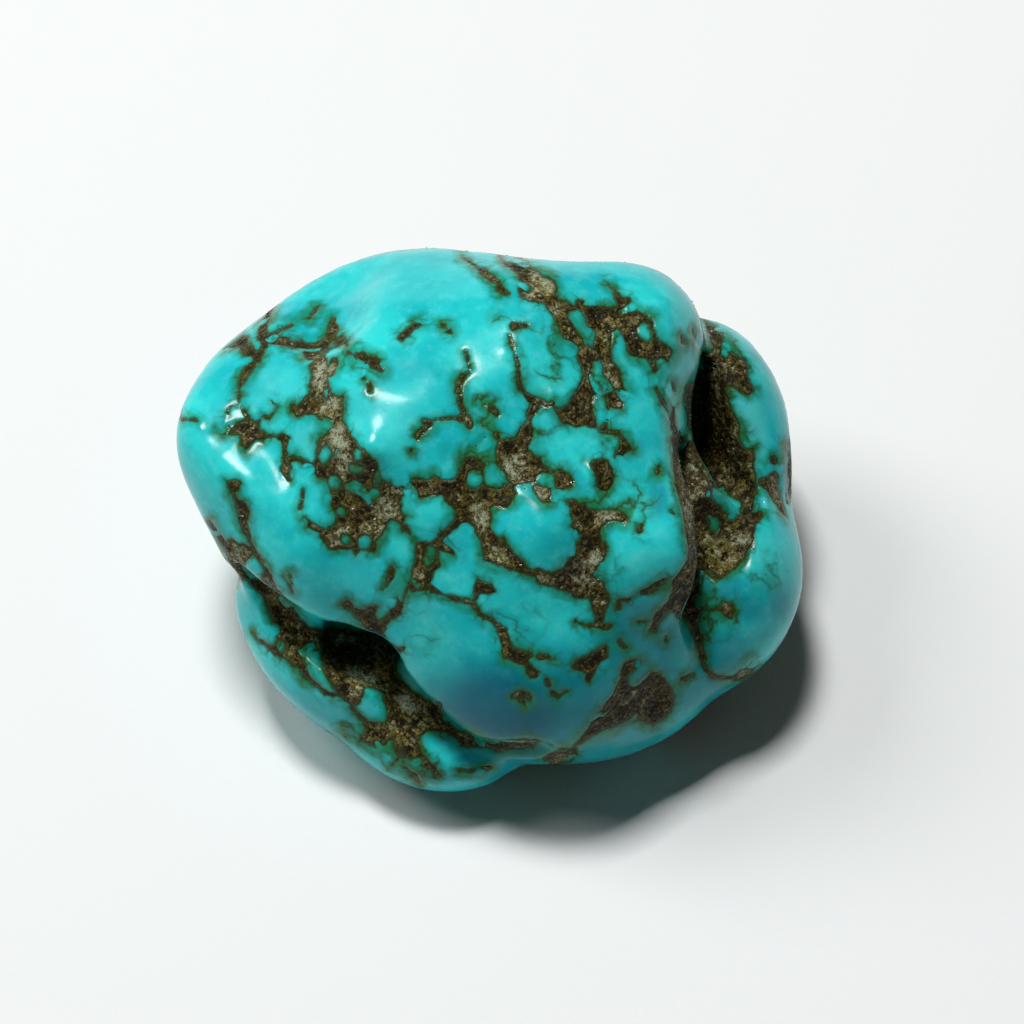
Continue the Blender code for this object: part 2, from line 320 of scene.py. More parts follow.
# The matrix on the show face, in steps of the face map: patches as outlines, and veins as strokes
# of points, each with its half-width.
PATCHES = {
    "column": (
        (308, 356), (311, 380), (309, 395), (299, 402), (291, 405), (290, 411), (295, 417),
        (305, 414), (316, 416), (323, 421), (328, 428), (324, 436), (317, 441), (316, 450),
        (313, 461), (310, 470), (316, 478), (326, 481), (330, 490), (328, 500), (333, 511),
        (337, 517), (334, 526), (325, 530), (310, 521), (304, 518), (308, 527), (320, 532),
        (323, 541), (329, 550), (340, 550), (351, 550), (356, 556), (360, 551), (374, 552),
        (377, 544), (385, 531), (391, 520), (400, 500), (376, 484), (376, 477), (380, 468),
        (377, 459), (370, 455), (361, 448), (355, 438), (348, 429), (343, 420), (343, 397),
        (331, 393), (328, 380), (327, 360),
    ),
    "middle band": (
        (370, 478), (376, 484), (383, 479), (387, 482), (395, 484), (404, 484), (410, 480),
        (419, 479), (429, 480), (434, 475), (442, 479), (450, 480), (457, 476), (461, 469),
        (463, 458), (466, 450), (472, 452), (478, 462), (484, 472), (485, 486), (492, 489),
        (500, 487), (500, 500), (492, 508), (492, 520), (493, 528), (499, 534), (506, 543),
        (516, 553), (522, 562), (530, 570), (518, 573), (506, 569), (494, 565), (484, 562),
        (482, 553), (480, 544), (475, 531), (468, 522), (460, 524), (451, 531), (448, 540),
        (455, 550), (456, 556), (447, 554), (440, 551), (439, 560), (441, 566), (434, 572),
        (432, 582), (426, 590), (414, 592), (408, 589), (405, 600), (402, 600), (407, 588),
        (411, 578), (413, 569), (415, 560), (416, 552), (418, 543), (411, 536), (401, 530),
        (396, 522), (391, 520), (385, 531), (380, 539), (372, 548), (350, 530), (345, 510),
        (352, 492), (362, 480),
    ),
    "middle right": (
        (500, 440), (508, 438), (516, 438), (521, 431), (526, 419), (529, 401), (541, 401),
        (541, 408), (535, 415), (532, 425), (533, 437), (530, 448), (534, 455), (541, 458),
        (544, 463), (549, 468), (556, 469), (562, 469), (570, 473), (575, 480), (574, 486),
        (568, 488), (561, 491), (558, 498), (552, 501), (543, 503), (537, 498), (530, 493),
        (524, 492), (517, 493), (511, 502), (506, 508), (495, 507), (488, 500), (490, 489),
        (500, 487), (506, 482), (506, 474), (500, 470), (497, 462), (496, 450),
    ),
    "dome ring": (
        (514, 572), (522, 562), (528, 568), (536, 570), (543, 571), (552, 573), (560, 570),
        (566, 564), (570, 557), (575, 551), (576, 543), (581, 536), (577, 533), (571, 527),
        (572, 518), (570, 508), (566, 501), (576, 499), (581, 503), (590, 508), (600, 509),
        (610, 509), (620, 510), (626, 514), (627, 520), (624, 524), (617, 521), (606, 522),
        (602, 527), (601, 534), (602, 541), (607, 546), (608, 552), (605, 560), (601, 564),
        (601, 572), (603, 581), (606, 589), (611, 596), (606, 612), (604, 625), (596, 625),
        (592, 610), (590, 600), (578, 599), (572, 594), (566, 591), (553, 588), (546, 586),
        (539, 583), (533, 577), (526, 575),
    ),
    "top band": (
        (509, 262), (525, 259), (536, 269), (545, 276), (555, 279), (558, 286), (556, 293),
        (558, 300), (567, 301), (574, 304), (578, 299), (583, 299), (592, 304), (600, 306),
        (612, 307), (616, 303), (615, 298), (614, 293), (609, 287), (604, 280), (615, 287),
        (618, 291), (622, 296), (630, 297), (629, 304), (632, 310), (640, 312), (647, 316),
        (652, 320), (654, 327), (656, 333), (659, 339), (665, 344), (671, 347), (673, 352),
        (671, 358), (669, 363), (661, 359), (651, 361), (644, 359), (637, 357), (631, 357),
        (628, 352), (626, 345), (623, 339), (621, 333), (617, 329), (612, 332), (612, 345),
        (612, 355), (614, 362), (618, 368), (621, 375), (622, 381), (628, 391), (625, 392),
        (621, 390), (621, 395), (624, 404), (622, 410), (618, 409), (611, 408), (609, 413),
        (608, 425), (610, 432), (600, 431), (592, 429), (584, 427), (576, 428), (569, 425),
        (561, 421), (556, 413), (552, 408), (555, 406), (560, 408), (568, 406), (571, 398),
        (576, 390), (582, 381), (583, 375), (582, 367), (577, 357), (569, 345), (561, 334),
        (557, 323), (551, 313), (545, 304), (535, 302), (528, 302), (521, 296), (517, 287),
        (522, 284), (519, 276), (512, 270),
    ),
    "small hole": (
        (590, 463), (595, 459), (603, 459), (609, 462), (613, 468), (614, 476), (612, 485),
        (608, 490), (600, 491), (597, 486), (597, 478), (594, 472), (591, 467),
    ),
    "wedge": (
        (618, 431), (624, 436), (629, 443), (635, 450), (627, 452), (621, 457), (615, 457),
        (616, 452), (620, 448), (620, 441),
    ),
    "cleft": (
        (703, 319), (712, 323), (720, 330), (725, 337), (724, 346), (733, 352), (740, 357),
        (746, 360), (750, 366), (749, 374), (751, 381), (755, 388), (753, 393), (746, 394),
        (741, 391), (735, 388), (728, 387), (726, 395), (729, 399), (727, 402), (732, 408),
        (735, 417), (739, 424), (738, 435), (741, 443), (746, 449), (755, 449), (754, 457),
        (755, 466), (758, 474), (757, 482), (757, 490), (758, 500), (760, 508), (764, 516),
        (760, 520), (756, 525), (755, 533), (755, 540), (752, 545), (748, 553), (744, 561),
        (737, 567), (731, 573), (721, 578), (713, 576), (708, 572), (700, 571), (698, 580),
        (701, 595), (701, 612), (698, 622), (702, 634), (704, 646), (705, 656), (701, 655),
        (697, 647), (694, 638), (690, 628), (686, 621), (681, 617), (677, 618), (675, 614),
        (670, 610), (664, 617), (659, 624), (657, 632), (648, 631), (652, 624), (654, 615),
        (659, 609), (668, 601), (672, 590), (672, 581), (676, 576), (680, 572), (683, 567),
        (687, 560), (688, 548), (686, 535), (684, 522), (681, 508), (678, 495), (675, 483),
        (672, 462), (672, 440), (674, 431), (678, 428), (680, 432), (686, 443), (692, 440),
        (691, 430), (688, 413), (685, 400), (687, 387), (693, 382), (700, 374), (703, 369),
        (704, 364), (703, 355), (706, 352), (711, 354), (714, 348), (711, 340), (706, 330),
    ),
    "ear band": (
        (757, 478), (768, 478), (776, 470), (779, 480), (782, 495), (785, 508), (788, 518),
        (780, 510), (772, 499), (766, 490), (758, 483),
    ),
    "lobe fleck": (
        (724, 603), (730, 600), (735, 605), (734, 614), (731, 620), (727, 618), (722, 613),
        (716, 612), (711, 612), (716, 607),
    ),
    "left edge": (
        (226, 541), (231, 538), (238, 544), (246, 544), (251, 548), (257, 556), (263, 562),
        (269, 570), (274, 579), (279, 589), (285, 599), (293, 608), (300, 619), (310, 626),
        (322, 630), (325, 645), (320, 650), (312, 650), (303, 656), (306, 664), (309, 673),
        (314, 680), (321, 687), (330, 693), (338, 693), (333, 698), (325, 695), (314, 688),
        (304, 678), (298, 669), (289, 663), (280, 660), (274, 654), (267, 650), (259, 643),
        (252, 632), (259, 638), (266, 644), (273, 646), (276, 640), (276, 628), (271, 618),
        (269, 609), (266, 600), (260, 593), (253, 588), (247, 580), (238, 579), (230, 573),
        (222, 552),
    ),
    "pit": (
        (303, 622), (310, 626), (322, 629), (335, 627), (345, 628), (356, 632), (368, 633),
        (378, 638), (386, 644), (395, 647), (404, 648), (400, 655), (396, 662), (399, 673),
        (406, 683), (416, 693), (400, 730), (386, 722), (387, 713), (386, 705), (383, 697),
        (378, 692), (372, 687), (364, 686), (364, 694), (361, 703), (356, 707), (350, 706),
        (344, 700), (338, 696), (334, 690), (329, 682), (324, 672), (321, 660), (321, 650),
        (310, 650),
    ),
    "trench": (
        (398, 672), (406, 683), (416, 693), (429, 701), (440, 704), (441, 712), (446, 720),
        (452, 726), (460, 731), (470, 735), (478, 740), (493, 744), (504, 741), (518, 739),
        (531, 738), (538, 742), (534, 748), (522, 749), (508, 750), (497, 751), (484, 747),
        (470, 748), (462, 745), (455, 739), (447, 733), (441, 732), (429, 731), (422, 736),
        (419, 744), (422, 752), (429, 760), (437, 767), (440, 776), (436, 778), (428, 770),
        (416, 762), (406, 757), (400, 748), (392, 738), (386, 745), (375, 748), (367, 745),
        (358, 741), (345, 736), (338, 729), (348, 732), (358, 736), (364, 735), (363, 722),
        (371, 721), (381, 723), (386, 722), (387, 700),
    ),
    "pit side": (
        (342, 604), (348, 600), (352, 603), (353, 608), (361, 609), (367, 608), (378, 606),
        (376, 613), (377, 619), (381, 622), (386, 617), (390, 610), (396, 607), (394, 598),
        (398, 597), (401, 601), (406, 596), (404, 606), (401, 614), (396, 618), (391, 621),
        (387, 626), (386, 632), (388, 638), (384, 644), (376, 637), (367, 632), (362, 625),
        (356, 619), (352, 613),
    ),
    "low patch": (
        (652, 671), (658, 673), (666, 678), (671, 687), (676, 694), (675, 702), (672, 711),
        (667, 718), (660, 722), (653, 727), (646, 724), (640, 722), (631, 721), (621, 725),
        (611, 730), (602, 732), (594, 736), (586, 740), (579, 747), (577, 754), (574, 760),
        (568, 766), (560, 768), (550, 764), (541, 758), (551, 754), (560, 750), (571, 748),
        (578, 740), (589, 726), (594, 717), (601, 709), (608, 702), (612, 695), (617, 686),
        (620, 678), (620, 670), (624, 663), (631, 660), (640, 659), (642, 663), (635, 670),
        (630, 676), (629, 684), (634, 687), (643, 681), (650, 674),
    ),
    "low middle": (
        (608, 643), (609, 655), (606, 663), (600, 668), (594, 676), (588, 682), (584, 680),
        (583, 672), (576, 670), (571, 667), (575, 661), (583, 657), (590, 654), (596, 650),
        (600, 645),
    ),
    "low left of middle": (
        (498, 622), (503, 626), (508, 628), (509, 640), (512, 646), (520, 650), (530, 653),
        (534, 657), (528, 660), (534, 668), (540, 672), (537, 679), (529, 679), (527, 670),
        (524, 665), (516, 663), (508, 660), (503, 658), (500, 650), (499, 640), (497, 632),
    ),
    "left dark": (
        (221, 425), (228, 422), (233, 424), (241, 422), (247, 417), (256, 420), (262, 417),
        (260, 423), (260, 428), (264, 433), (266, 438), (262, 441), (256, 440), (251, 446),
        (246, 452), (243, 449), (240, 442), (240, 435), (234, 434), (225, 434), (221, 430),
    ),
    "left crease": (
        (228, 482), (236, 480), (241, 484), (239, 489), (235, 493), (238, 499), (247, 503),
        (251, 512), (248, 522), (250, 533), (253, 544), (259, 553), (265, 562), (258, 560),
        (250, 548), (244, 534), (240, 524), (237, 515), (236, 503), (232, 494), (229, 489),
    ),
    "small junction": (
        (476, 579), (482, 583), (492, 586), (496, 592), (488, 594), (480, 594), (477, 603),
        (470, 603), (474, 594), (474, 586),
    ),
    "rim lip": (
        (731, 680), (738, 672), (746, 664), (752, 658), (757, 663), (750, 674), (738, 682),
    ),
}
VEINS = (
    ((180, 415, 1.5), (184, 420, 1.5), (192, 420, 1.2), (197, 421, 1)),
    ((220, 350, 1), (235, 345, 3), (243, 342, 6), (250, 353, 7), (257, 359, 4)),
    ((255, 358, 4), (246, 372, 5), (241, 382, 4), (239, 390, 2), (239, 400, 1.5)),
    ((239, 402, 1.2), (230, 410, 1.4), (225, 420, 1.8), (222, 426, 2)),
    ((240, 403, 1.2), (245, 413, 2), (248, 418, 2)),
    ((262, 417, 1.5), (268, 417, 1.5), (273, 413, 1.5), (277, 406, 1.5), (273, 402, 1)),
    ((272, 305, 2), (266, 318, 4), (263, 328, 5), (262, 338, 4), (265, 345, 4), (258, 356, 4)),
    ((270, 338, 5), (280, 340, 5), (290, 343, 4), (300, 345, 5), (312, 350, 6), (322, 347, 6)),
    ((322, 347, 6), (330, 337, 6), (333, 328, 5), (333, 320, 2)),
    ((275, 333, 2), (291, 325, 1.5)),
    ((309, 318, 1.5), (318, 307, 1.5)),
    ((304, 349, 4), (312, 356, 6), (320, 360, 7)),
    ((335, 345, 4), (342, 340, 4), (350, 352, 3)),
    ((335, 362, 4), (330, 372, 5)),
    ((355, 350, 4), (363, 358, 5), (375, 363, 6), (382, 370, 2)),
    ((362, 365, 3), (361, 375, 2), (364, 378, 1.5)),
    ((357, 370, 1.2), (357, 371, 1.2)),
    ((369, 384, 1.2), (370, 391, 1.2)),
    ((268, 437, 1), (275, 437, 1.5), (283, 438, 3.5), (290, 436, 2)),
    (
        (284, 441, 3), (284, 450, 2.5), (285, 458, 2.5), (286, 468, 4.5), (286, 475, 4),
        (291, 482, 1),
    ),
    ((287, 459, 2), (298, 459, 2), (308, 463, 2.5), (314, 467, 4.5), (322, 472, 5)),
    ((303, 490, 1), (303, 498, 1.2), (300, 509, 1)),
    ((209, 521, 2), (212, 528, 3), (217, 535, 3), (222, 542, 3.5), (227, 548, 4)),
    ((284, 576, 0.8), (290, 585, 1.4), (294, 592, 1.2)),
    ((292, 574, 0.8), (293, 583, 1)),
    ((402, 337, 4), (408, 332, 4), (413, 326, 3.5), (420, 323, 3.5)),
    ((443, 324, 2), (445, 325, 2)),
    ((449, 331, 2.5), (450, 333, 2.5)),
    ((514, 326, 3.5), (520, 324, 3.5), (526, 325, 2.5)),
    ((462, 256, 1), (475, 265, 1.5), (483, 271, 3), (492, 278, 4), (500, 288, 3), (508, 293, 2)),
    ((500, 257, 1), (508, 265, 1.5)),
    ((509, 335, 1), (511, 345, 2), (514, 353, 2), (517, 360, 2), (519, 368, 1.5), (519, 377, 2)),
    ((519, 377, 2), (520, 385, 2), (524, 393, 2.5), (530, 399, 4), (540, 402, 4), (553, 405, 2.5)),
    ((466, 352, 1.5), (468, 362, 1.5), (471, 370, 2), (462, 377, 3), (458, 385, 3)),
    ((458, 385, 3), (458, 393, 3), (461, 402, 2), (464, 415, 4), (471, 425, 3.5)),
    ((425, 422, 3), (430, 424, 3.5)),
    ((436, 420, 1.6), (450, 418, 2.2), (462, 418, 4.5)),
    ((428, 426, 2), (419, 433, 3), (416, 441, 2.5), (411, 451, 1.6)),
    ((482, 401, 3.5), (484, 404, 3)),
    ((492, 407, 3), (497, 414, 3)),
    ((479, 424, 3), (480, 426, 2.5)),
    ((496, 434, 3), (498, 437, 2.5)),
    ((485, 437, 3.5), (474, 446, 4), (469, 457, 5), (474, 466, 4.5), (481, 465, 4)),
    ((556, 345, 2.5), (559, 347, 2)),
    ((391, 567, 1.5), (392, 572, 3.5), (391, 578, 3), (387, 585, 1.6), (383, 590, 1)),
    ((429, 582, 1.5), (434, 590, 2.5), (442, 594, 1.5), (450, 597, 2), (460, 601, 1.8)),
    ((460, 601, 1.8), (468, 602, 2.5), (474, 604, 3.5), (478, 612, 2), (484, 618, 1.8)),
    ((484, 618, 1.8), (492, 620, 2.5), (498, 625, 3)),
    ((577, 622, 2), (583, 626, 2), (597, 625, 2.5), (609, 627, 3)),
    ((619, 600, 2), (618, 608, 2)),
    ((668, 578, 1.5), (663, 581, 4), (655, 586, 3.5), (648, 591, 3), (640, 596, 3)),
    ((640, 596, 3), (631, 600, 2.5), (622, 600, 2)),
    ((639, 622, 2.5), (645, 621, 2)),
    ((665, 637, 2), (665, 640, 1.6)),
    ((620, 641, 3), (624, 646, 3)),
    ((540, 657, 2), (548, 657, 2.5), (557, 661, 1)),
    ((516, 696, 4), (521, 694, 4), (530, 699, 3.5)),
    ((522, 700, 3), (525, 704, 2.5)),
    ((547, 680, 2.5), (549, 685, 2.5)),
    ((552, 693, 2.5), (558, 697, 3), (566, 692, 1.5)),
    ((682, 679, 2), (692, 675, 2.5)),
    ((703, 662, 2.5), (706, 671, 2), (713, 676, 2), (722, 678, 2), (731, 678, 2)),
    ((702, 652, 3), (703, 662, 2.5)),
    ((648, 360, 1.5), (653, 366, 1.6), (656, 371, 1.5)),
    ((655, 361, 1.6), (654, 375, 1.3), (656, 388, 1.6), (661, 400, 1.4), (666, 409, 1.3)),
    ((666, 409, 1.3), (671, 419, 1.6), (673, 429, 2)),
    ((672, 384, 1), (675, 395, 1.6), (674, 408, 1.6), (673, 419, 2), (676, 430, 3), (679, 442, 4)),
    ((692, 330, 1), (697, 342, 1.6), (703, 355, 1.8)),
    ((600, 431, 2), (610, 432, 2.5), (618, 433, 2)),
    ((660, 467, 1.5), (657, 473, 2.5)),
    ((640, 527, 3.5), (640, 534, 1.6)),
    ((671, 511, 1.2), (677, 518, 2)),
    ((682, 337, 2), (683, 343, 2)),
    ((788, 440, 1.5), (790, 455, 3), (791, 475, 3.5), (791, 490, 3.5), (788, 502, 2)),
    ((774, 458, 2.5), (775, 466, 3)),
    ((351, 706, 2), (358, 714, 2), (365, 721, 2.5)),
    ((395, 745, 2), (398, 758, 2.5), (392, 765, 1.5)),
    ((404, 768, 1.5), (416, 776, 2), (420, 784, 1.5)),
    ((459, 771, 1.5), (475, 771, 2), (490, 767, 1.5)),
)

# Turquoise left standing inside the patches, as outlines and as rounds: x, y, half-width,
# half-height and roll in degrees.
ISLANDS = (
    (
        (409, 493), (415, 494), (419, 498), (427, 496), (442, 496), (448, 502), (455, 510),
        (453, 520), (447, 528), (440, 533), (429, 539), (421, 538), (411, 530), (405, 522),
        (407, 517), (402, 511), (400, 502), (402, 497),
    ),
    (
        (570, 311), (577, 310), (583, 312), (586, 318), (588, 326), (591, 334), (595, 342),
        (594, 347), (590, 347), (586, 342), (580, 335), (574, 327), (569, 318),
    ),
    (
        (592, 362), (600, 361), (603, 367), (603, 374), (607, 381), (608, 387), (603, 389),
        (598, 387), (594, 381), (592, 372),
    ),
    (
        (596, 395), (602, 394), (606, 400), (607, 407), (605, 415), (603, 424), (599, 427),
        (597, 420), (593, 410), (592, 402),
    ),
    (
        (638, 327), (643, 324), (648, 325), (650, 331), (651, 338), (648, 341), (643, 338),
        (638, 333),
    ),
    (
        (713, 487), (722, 490), (731, 496), (740, 501), (743, 507), (740, 513), (734, 517),
        (727, 514), (721, 508), (716, 503), (713, 496),
    ),
    ((708, 516), (716, 517), (719, 524), (718, 531), (712, 530), (709, 524)),
)
ROUND_ISLANDS = (
    (333, 351, 4.5, 7.5, 0),
    (252, 335, 3, 9, 25),
    (235, 412, 7, 7.5, 0),
    (334.5, 483, 6.5, 7.5, 0),
    (325, 456, 5.5, 9, 10),
    (358, 457, 4.5, 7.5, 0),
    (357, 469, 6.5, 5.5, 0),
    (350, 487, 6, 5, 0),
    (340, 512, 4.5, 3.5, 0),
    (345, 540, 5, 5, 0),
    (365, 543, 6.5, 6.5, 0),
    (378, 482, 4, 5.5, 0),
    (374, 494, 5, 5, 0),
    (430, 556, 6, 9.5, 0),
    (475, 479, 8, 10, 0),
    (487, 456, 7, 11, 0),
    (497, 480, 7.5, 8.5, 0),
    (545, 480, 8, 6.5, 0),
    (610, 444, 8.5, 9.5, 0),
    (254, 571, 8.5, 8.5, 0),
    (280, 646, 3.5, 5, 0),
)

# Tints of the show face: x, y, half-width, half-height, roll in degrees, strength. The deep
# and pale tints are partly painted shade and painted light.
GREEN_SPOTS = (
    (440, 368, 9, 7, 0, 0.6),
    (495, 315, 12, 10, 0, 0.7),
    (500, 300, 10, 8, 0, 0.6),
    (550, 375, 16, 26, 30, 0.75),
    (640, 500, 22, 24, 0, 0.7),
    (615, 500, 22, 14, 0, 0.9),
    (590, 500, 16, 12, 0, 0.7),
    (590, 525, 12, 14, 0, 0.6),
    (545, 435, 12, 14, 0, 0.55),
    (610, 444, 12, 12, 0, 0.8),
    (715, 620, 24, 22, 0, 1.0),
    (705, 590, 14, 24, 0, 1.0),
    (275, 617, 6, 16, -12, 0.9),
    (281, 645, 7, 8, 0, 0.9),
    (325, 456, 7, 11, 0, 0.95),
    (350, 487, 8, 7, 0, 0.8),
    (378, 484, 6, 10, 0, 0.7),
    (357, 469, 8, 6, 0, 0.6),
    (374, 494, 6, 6, 0, 0.8),
    (430, 556, 8, 11, 0, 0.8),
    (545, 480, 10, 8, 0, 0.8),
    (494, 515, 7, 13, 0, 0.8),
    (485, 420, 20, 28, 0, 0.85),
    (478, 455, 16, 20, 0, 0.7),
    (487, 440, 14, 12, 0, 0.7),
    (245, 572, 9, 7, 0, 0.7),
    (410, 762, 32, 20, 10, 0.8),
    (345, 728, 10, 8, 0, 0.6),
    (420, 600, 10, 16, 0, 0.4),
    (600, 375, 9, 15, 0, 0.7),
    (612, 338, 6, 10, 0, 0.8),
    (735, 345, 12, 6, 40, 0.9),
    (730, 396, 6, 6, 0, 0.9),
    (750, 440, 10, 14, 0, 0.5),
    (762, 468, 8, 10, 0, 0.5),
    (713, 523, 8, 10, 0, 1.0),
    (765, 575, 24, 26, 0, 0.45),
    (545, 335, 20, 14, 0, 0.3),
    (620, 570, 14, 16, 0, 0.35),
    (640, 590, 22, 10, 0, 0.5),
    (425, 640, 18, 20, 0, 0.4),
    (520, 625, 30, 22, 0, 0.4),
    (380, 700, 8, 9, 0, 0.5),
    (437, 735, 12, 6, 0, 0.7),
)
# The deep tint: partly the stone's own deep blue, and partly painted shade on the lower slopes that
# face the viewer, away from the lamps.
DEEP_AND_PAINTED_SHADE_SPOTS = (
    (657, 497, 12, 22, 0, 0.45),
    (724, 588, 26, 18, -20, 0.5),
    (742, 606, 26, 16, 10, 0.45),
    (779, 600, 12, 24, 0, 0.35),
    (500, 712, 90, 60, 10, 0.86),
    (560, 700, 90, 70, 0, 0.6),
    (640, 650, 60, 60, 0, 0.6),
    (600, 745, 80, 36, -15, 0.5),
    (700, 680, 60, 36, -35, 0.5),
    (330, 720, 40, 30, 30, 0.3),
    (475, 760, 28, 12, 0, 0.7),
    (520, 730, 44, 14, 0, 0.6),
    (680, 655, 26, 20, 0, 0.4),
    (730, 650, 30, 22, 0, 0.35),
    (575, 480, 10, 16, 0, 0.3),
    (620, 735, 30, 12, -20, 0.3),
)
# The pale tint: partly milky turquoise, and partly painted light and highlights: on the lit top, on
# the shaded ear and right lobe, and as pale strips along the right ridge and rims.
PALE_AND_PAINTED_LIGHT_SPOTS = (
    (430, 284, 120, 18, -6, 0.5),
    (745, 430, 24, 44, 0, 0.9),
    (780, 560, 28, 34, 0, 0.4),
    (335, 700, 46, 28, 30, 0.4),
    (672, 400, 9, 70, 0, 0.9),
    (670, 400, 10, 60, 0, 0.7),
    (685, 410, 7, 36, 0, 0.8),
    (680, 350, 14, 30, 0, 0.5),
    (700, 340, 8, 20, -25, 0.8),
    (669, 470, 6, 60, -8, 0.6),
    (770, 505, 8, 18, -35, 0.7),
    (280, 385, 30, 26, 0, 0.3),
    (310, 440, 16, 18, 0, 0.4),
    (365, 410, 30, 30, 0, 0.25),
    (400, 410, 20, 36, 0, 0.3),
    (785, 470, 6, 34, 0, 0.6),
    (410, 665, 10, 22, -30, 0.4),
    (650, 560, 26, 12, 0, 0.35),
    (350, 575, 40, 18, 0, 0.2),
)
# Where the matrix is pale and sandy, and where it is olive.
SANDY_SPOTS = (
    (322, 376, 14, 26, 0, 1.0),
    (326, 404, 14, 14, 0, 0.9),
    (335, 445, 16, 32, -15, 0.9),
    (345, 465, 14, 14, 0, 0.8),
    (384, 510, 18, 14, 0, 0.8),
    (372, 530, 16, 12, 0, 0.6),
    (335, 540, 10, 12, 0, 0.8),
    (398, 490, 14, 7, 0, 0.7),
    (481, 516, 12, 14, 0, 0.9),
    (486, 535, 10, 12, 0, 0.6),
    (500, 558, 16, 10, 20, 0.9),
    (515, 470, 20, 20, 0, 0.7),
    (545, 492, 16, 8, 0, 0.9),
    (415, 575, 10, 16, 0, 0.5),
    (540, 283, 20, 20, 0, 0.8),
    (555, 310, 10, 10, 0, 0.7),
    (545, 580, 12, 7, 0, 0.8),
    (583, 575, 18, 14, 0, 0.7),
    (597, 560, 8, 14, 0, 0.9),
    (606, 517, 16, 8, 0, 0.9),
    (596, 330, 10, 14, 0, 0.3),
    (612, 378, 10, 12, 0, 0.5),
    (588, 375, 6, 14, 0, 0.5),
    (412, 703, 16, 12, 20, 0.9),
    (362, 678, 16, 16, 0, 0.9),
    (354, 692, 8, 12, 0, 0.7),
    (240, 560, 18, 18, 0, 0.7),
    (722, 548, 24, 18, 0, 0.4),
    (744, 540, 10, 9, 0, 0.9),
    (750, 560, 10, 10, 0, 0.4),
    (686, 520, 10, 66, -6, 0.55),
    (690, 470, 12, 12, 0, 0.5),
    (722, 362, 14, 16, 0, 0.6),
    (712, 350, 8, 12, -30, 0.8),
    (778, 495, 10, 24, -10, 0.8),
    (745, 670, 12, 12, 0, 0.8),
    (734, 453, 8, 5, 0, 0.9),
    (734, 430, 6, 10, 0, 0.5),
    (310, 650, 12, 6, 0, 0.7),
    (605, 700, 12, 18, 0, 0.15),
    (560, 758, 16, 8, 0, 0.5),
)
OLIVE_SPOTS = (
    (545, 285, 16, 20, 0, 0.9),
    (610, 330, 34, 24, 0, 0.6),
    (640, 350, 26, 14, 0, 0.5),
    (565, 330, 16, 26, -30, 0.5),
    (285, 640, 16, 26, 0, 1.0),
    (290, 618, 10, 20, 0, 0.7),
    (245, 550, 20, 14, 0, 0.5),
    (342, 345, 12, 12, 0, 0.9),
    (330, 370, 8, 10, 0, 0.7),
    (350, 500, 16, 18, 0, 0.7),
    (325, 410, 18, 14, 0, 0.4),
    (720, 558, 22, 18, 0, 1.0),
    (730, 520, 18, 18, 0, 0.8),
    (720, 392, 14, 8, 0, 0.9),
    (745, 480, 14, 30, 0, 0.6),
    (410, 740, 26, 22, 0, 0.8),
    (375, 738, 14, 12, 0, 0.8),
    (425, 725, 12, 8, 0, 0.8),
    (500, 500, 14, 12, 0, 0.7),
    (505, 562, 18, 10, 20, 0.5),
    (596, 560, 10, 20, 0, 0.5),
    (612, 400, 12, 14, 0, 0.4),
    (243, 445, 10, 10, 0, 0.6),
    (650, 710, 22, 12, 0, 0.3),
    (400, 616, 8, 6, 0, 0.8),
    (360, 690, 14, 12, 0, 0.5),
)
# The deep tint is partly painted shade, and the pale tint partly painted light and highlights.
TINTS = {
    "green": GREEN_SPOTS,
    "deep": DEEP_AND_PAINTED_SHADE_SPOTS,
    "pale": PALE_AND_PAINTED_LIGHT_SPOTS,
    "sandy": SANDY_SPOTS,
    "olive": OLIVE_SPOTS,
}

# Swells of the show face: x, y, half-width, half-height, roll in degrees, rise in millimetres.
SWELLS = (
    (368, 452, 28, 26, 0, 0.75),
    (352, 392, 22, 18, 0, 0.12),
    (268, 362, 26, 20, 0, 0.15),
    (404, 372, 26, 22, 0, -0.2),
    (506, 374, 26, 24, 0, 0.2),
    (503, 350, 16, 11, 0, 0.08),
    (558, 400, 17, 22, 0, 0.44),
    (548, 529, 38, 38, 0, 0.72),
    (596, 472, 12, 14, 0, 0.32),
    (428, 518, 26, 22, 0, 0.25),
    (430, 590, 30, 24, 0, 0.2),
    (640, 550, 34, 34, 0, 0.3),
    (470, 610, 40, 34, 0, 0.25),
    (290, 560, 34, 28, 0, 0.2),
    (182, 430, 28, 34, 0, 0.3),
)

# Ridges of the show face: half-width, rise in millimetres, and the points of the line.
RIDGES = (
    (
        32,
        0.95,
        (
            (186, 362), (182, 390), (182, 413), (190, 447), (213, 472), (246, 489), (272, 508),
            (290, 530), (302, 555), (314, 590),
        ),
    ),
    (16, 0.35, ((668, 300), (672, 350), (664, 410), (666, 460), (676, 510), (682, 552))),
)


def length(vectors):
    """The root of the sum of the squares along the last axis."""
    return np.sqrt((vectors * vectors).sum(axis=-1))


def on_sight_line(map_x, map_y, depth):
    """The point at this depth on the sight line through a place of the face map.

    A step shrinks towards the viewpoint in the share of the range that is left.
    """
    step = FACE_STEP * (VIEW_RANGE - depth) / VIEW_RANGE
    across = (map_x - FACE_MIDDLE) * step
    up = (FACE_MIDDLE - map_y) * step
    return FACE_CENTRE + np.array((across, up, depth)) @ FACE_AXES


def smooth_join(first, second, blend):
    """The union of two distances, rounded where they meet.

    It is the smaller one less a quarter of the blend times the square of their overlap, which
    is 1 where they are equal and 0 where they are a blend apart.
    """
    overlap = np.maximum(blend - np.abs(first - second), 0.0) / blend
    return np.minimum(first, second) - overlap * overlap * blend / 4


def smooth_cut(body, hollow, blend):
    """The first distance less the second, rounded at the edge."""
    return -smooth_join(-body, hollow, blend)


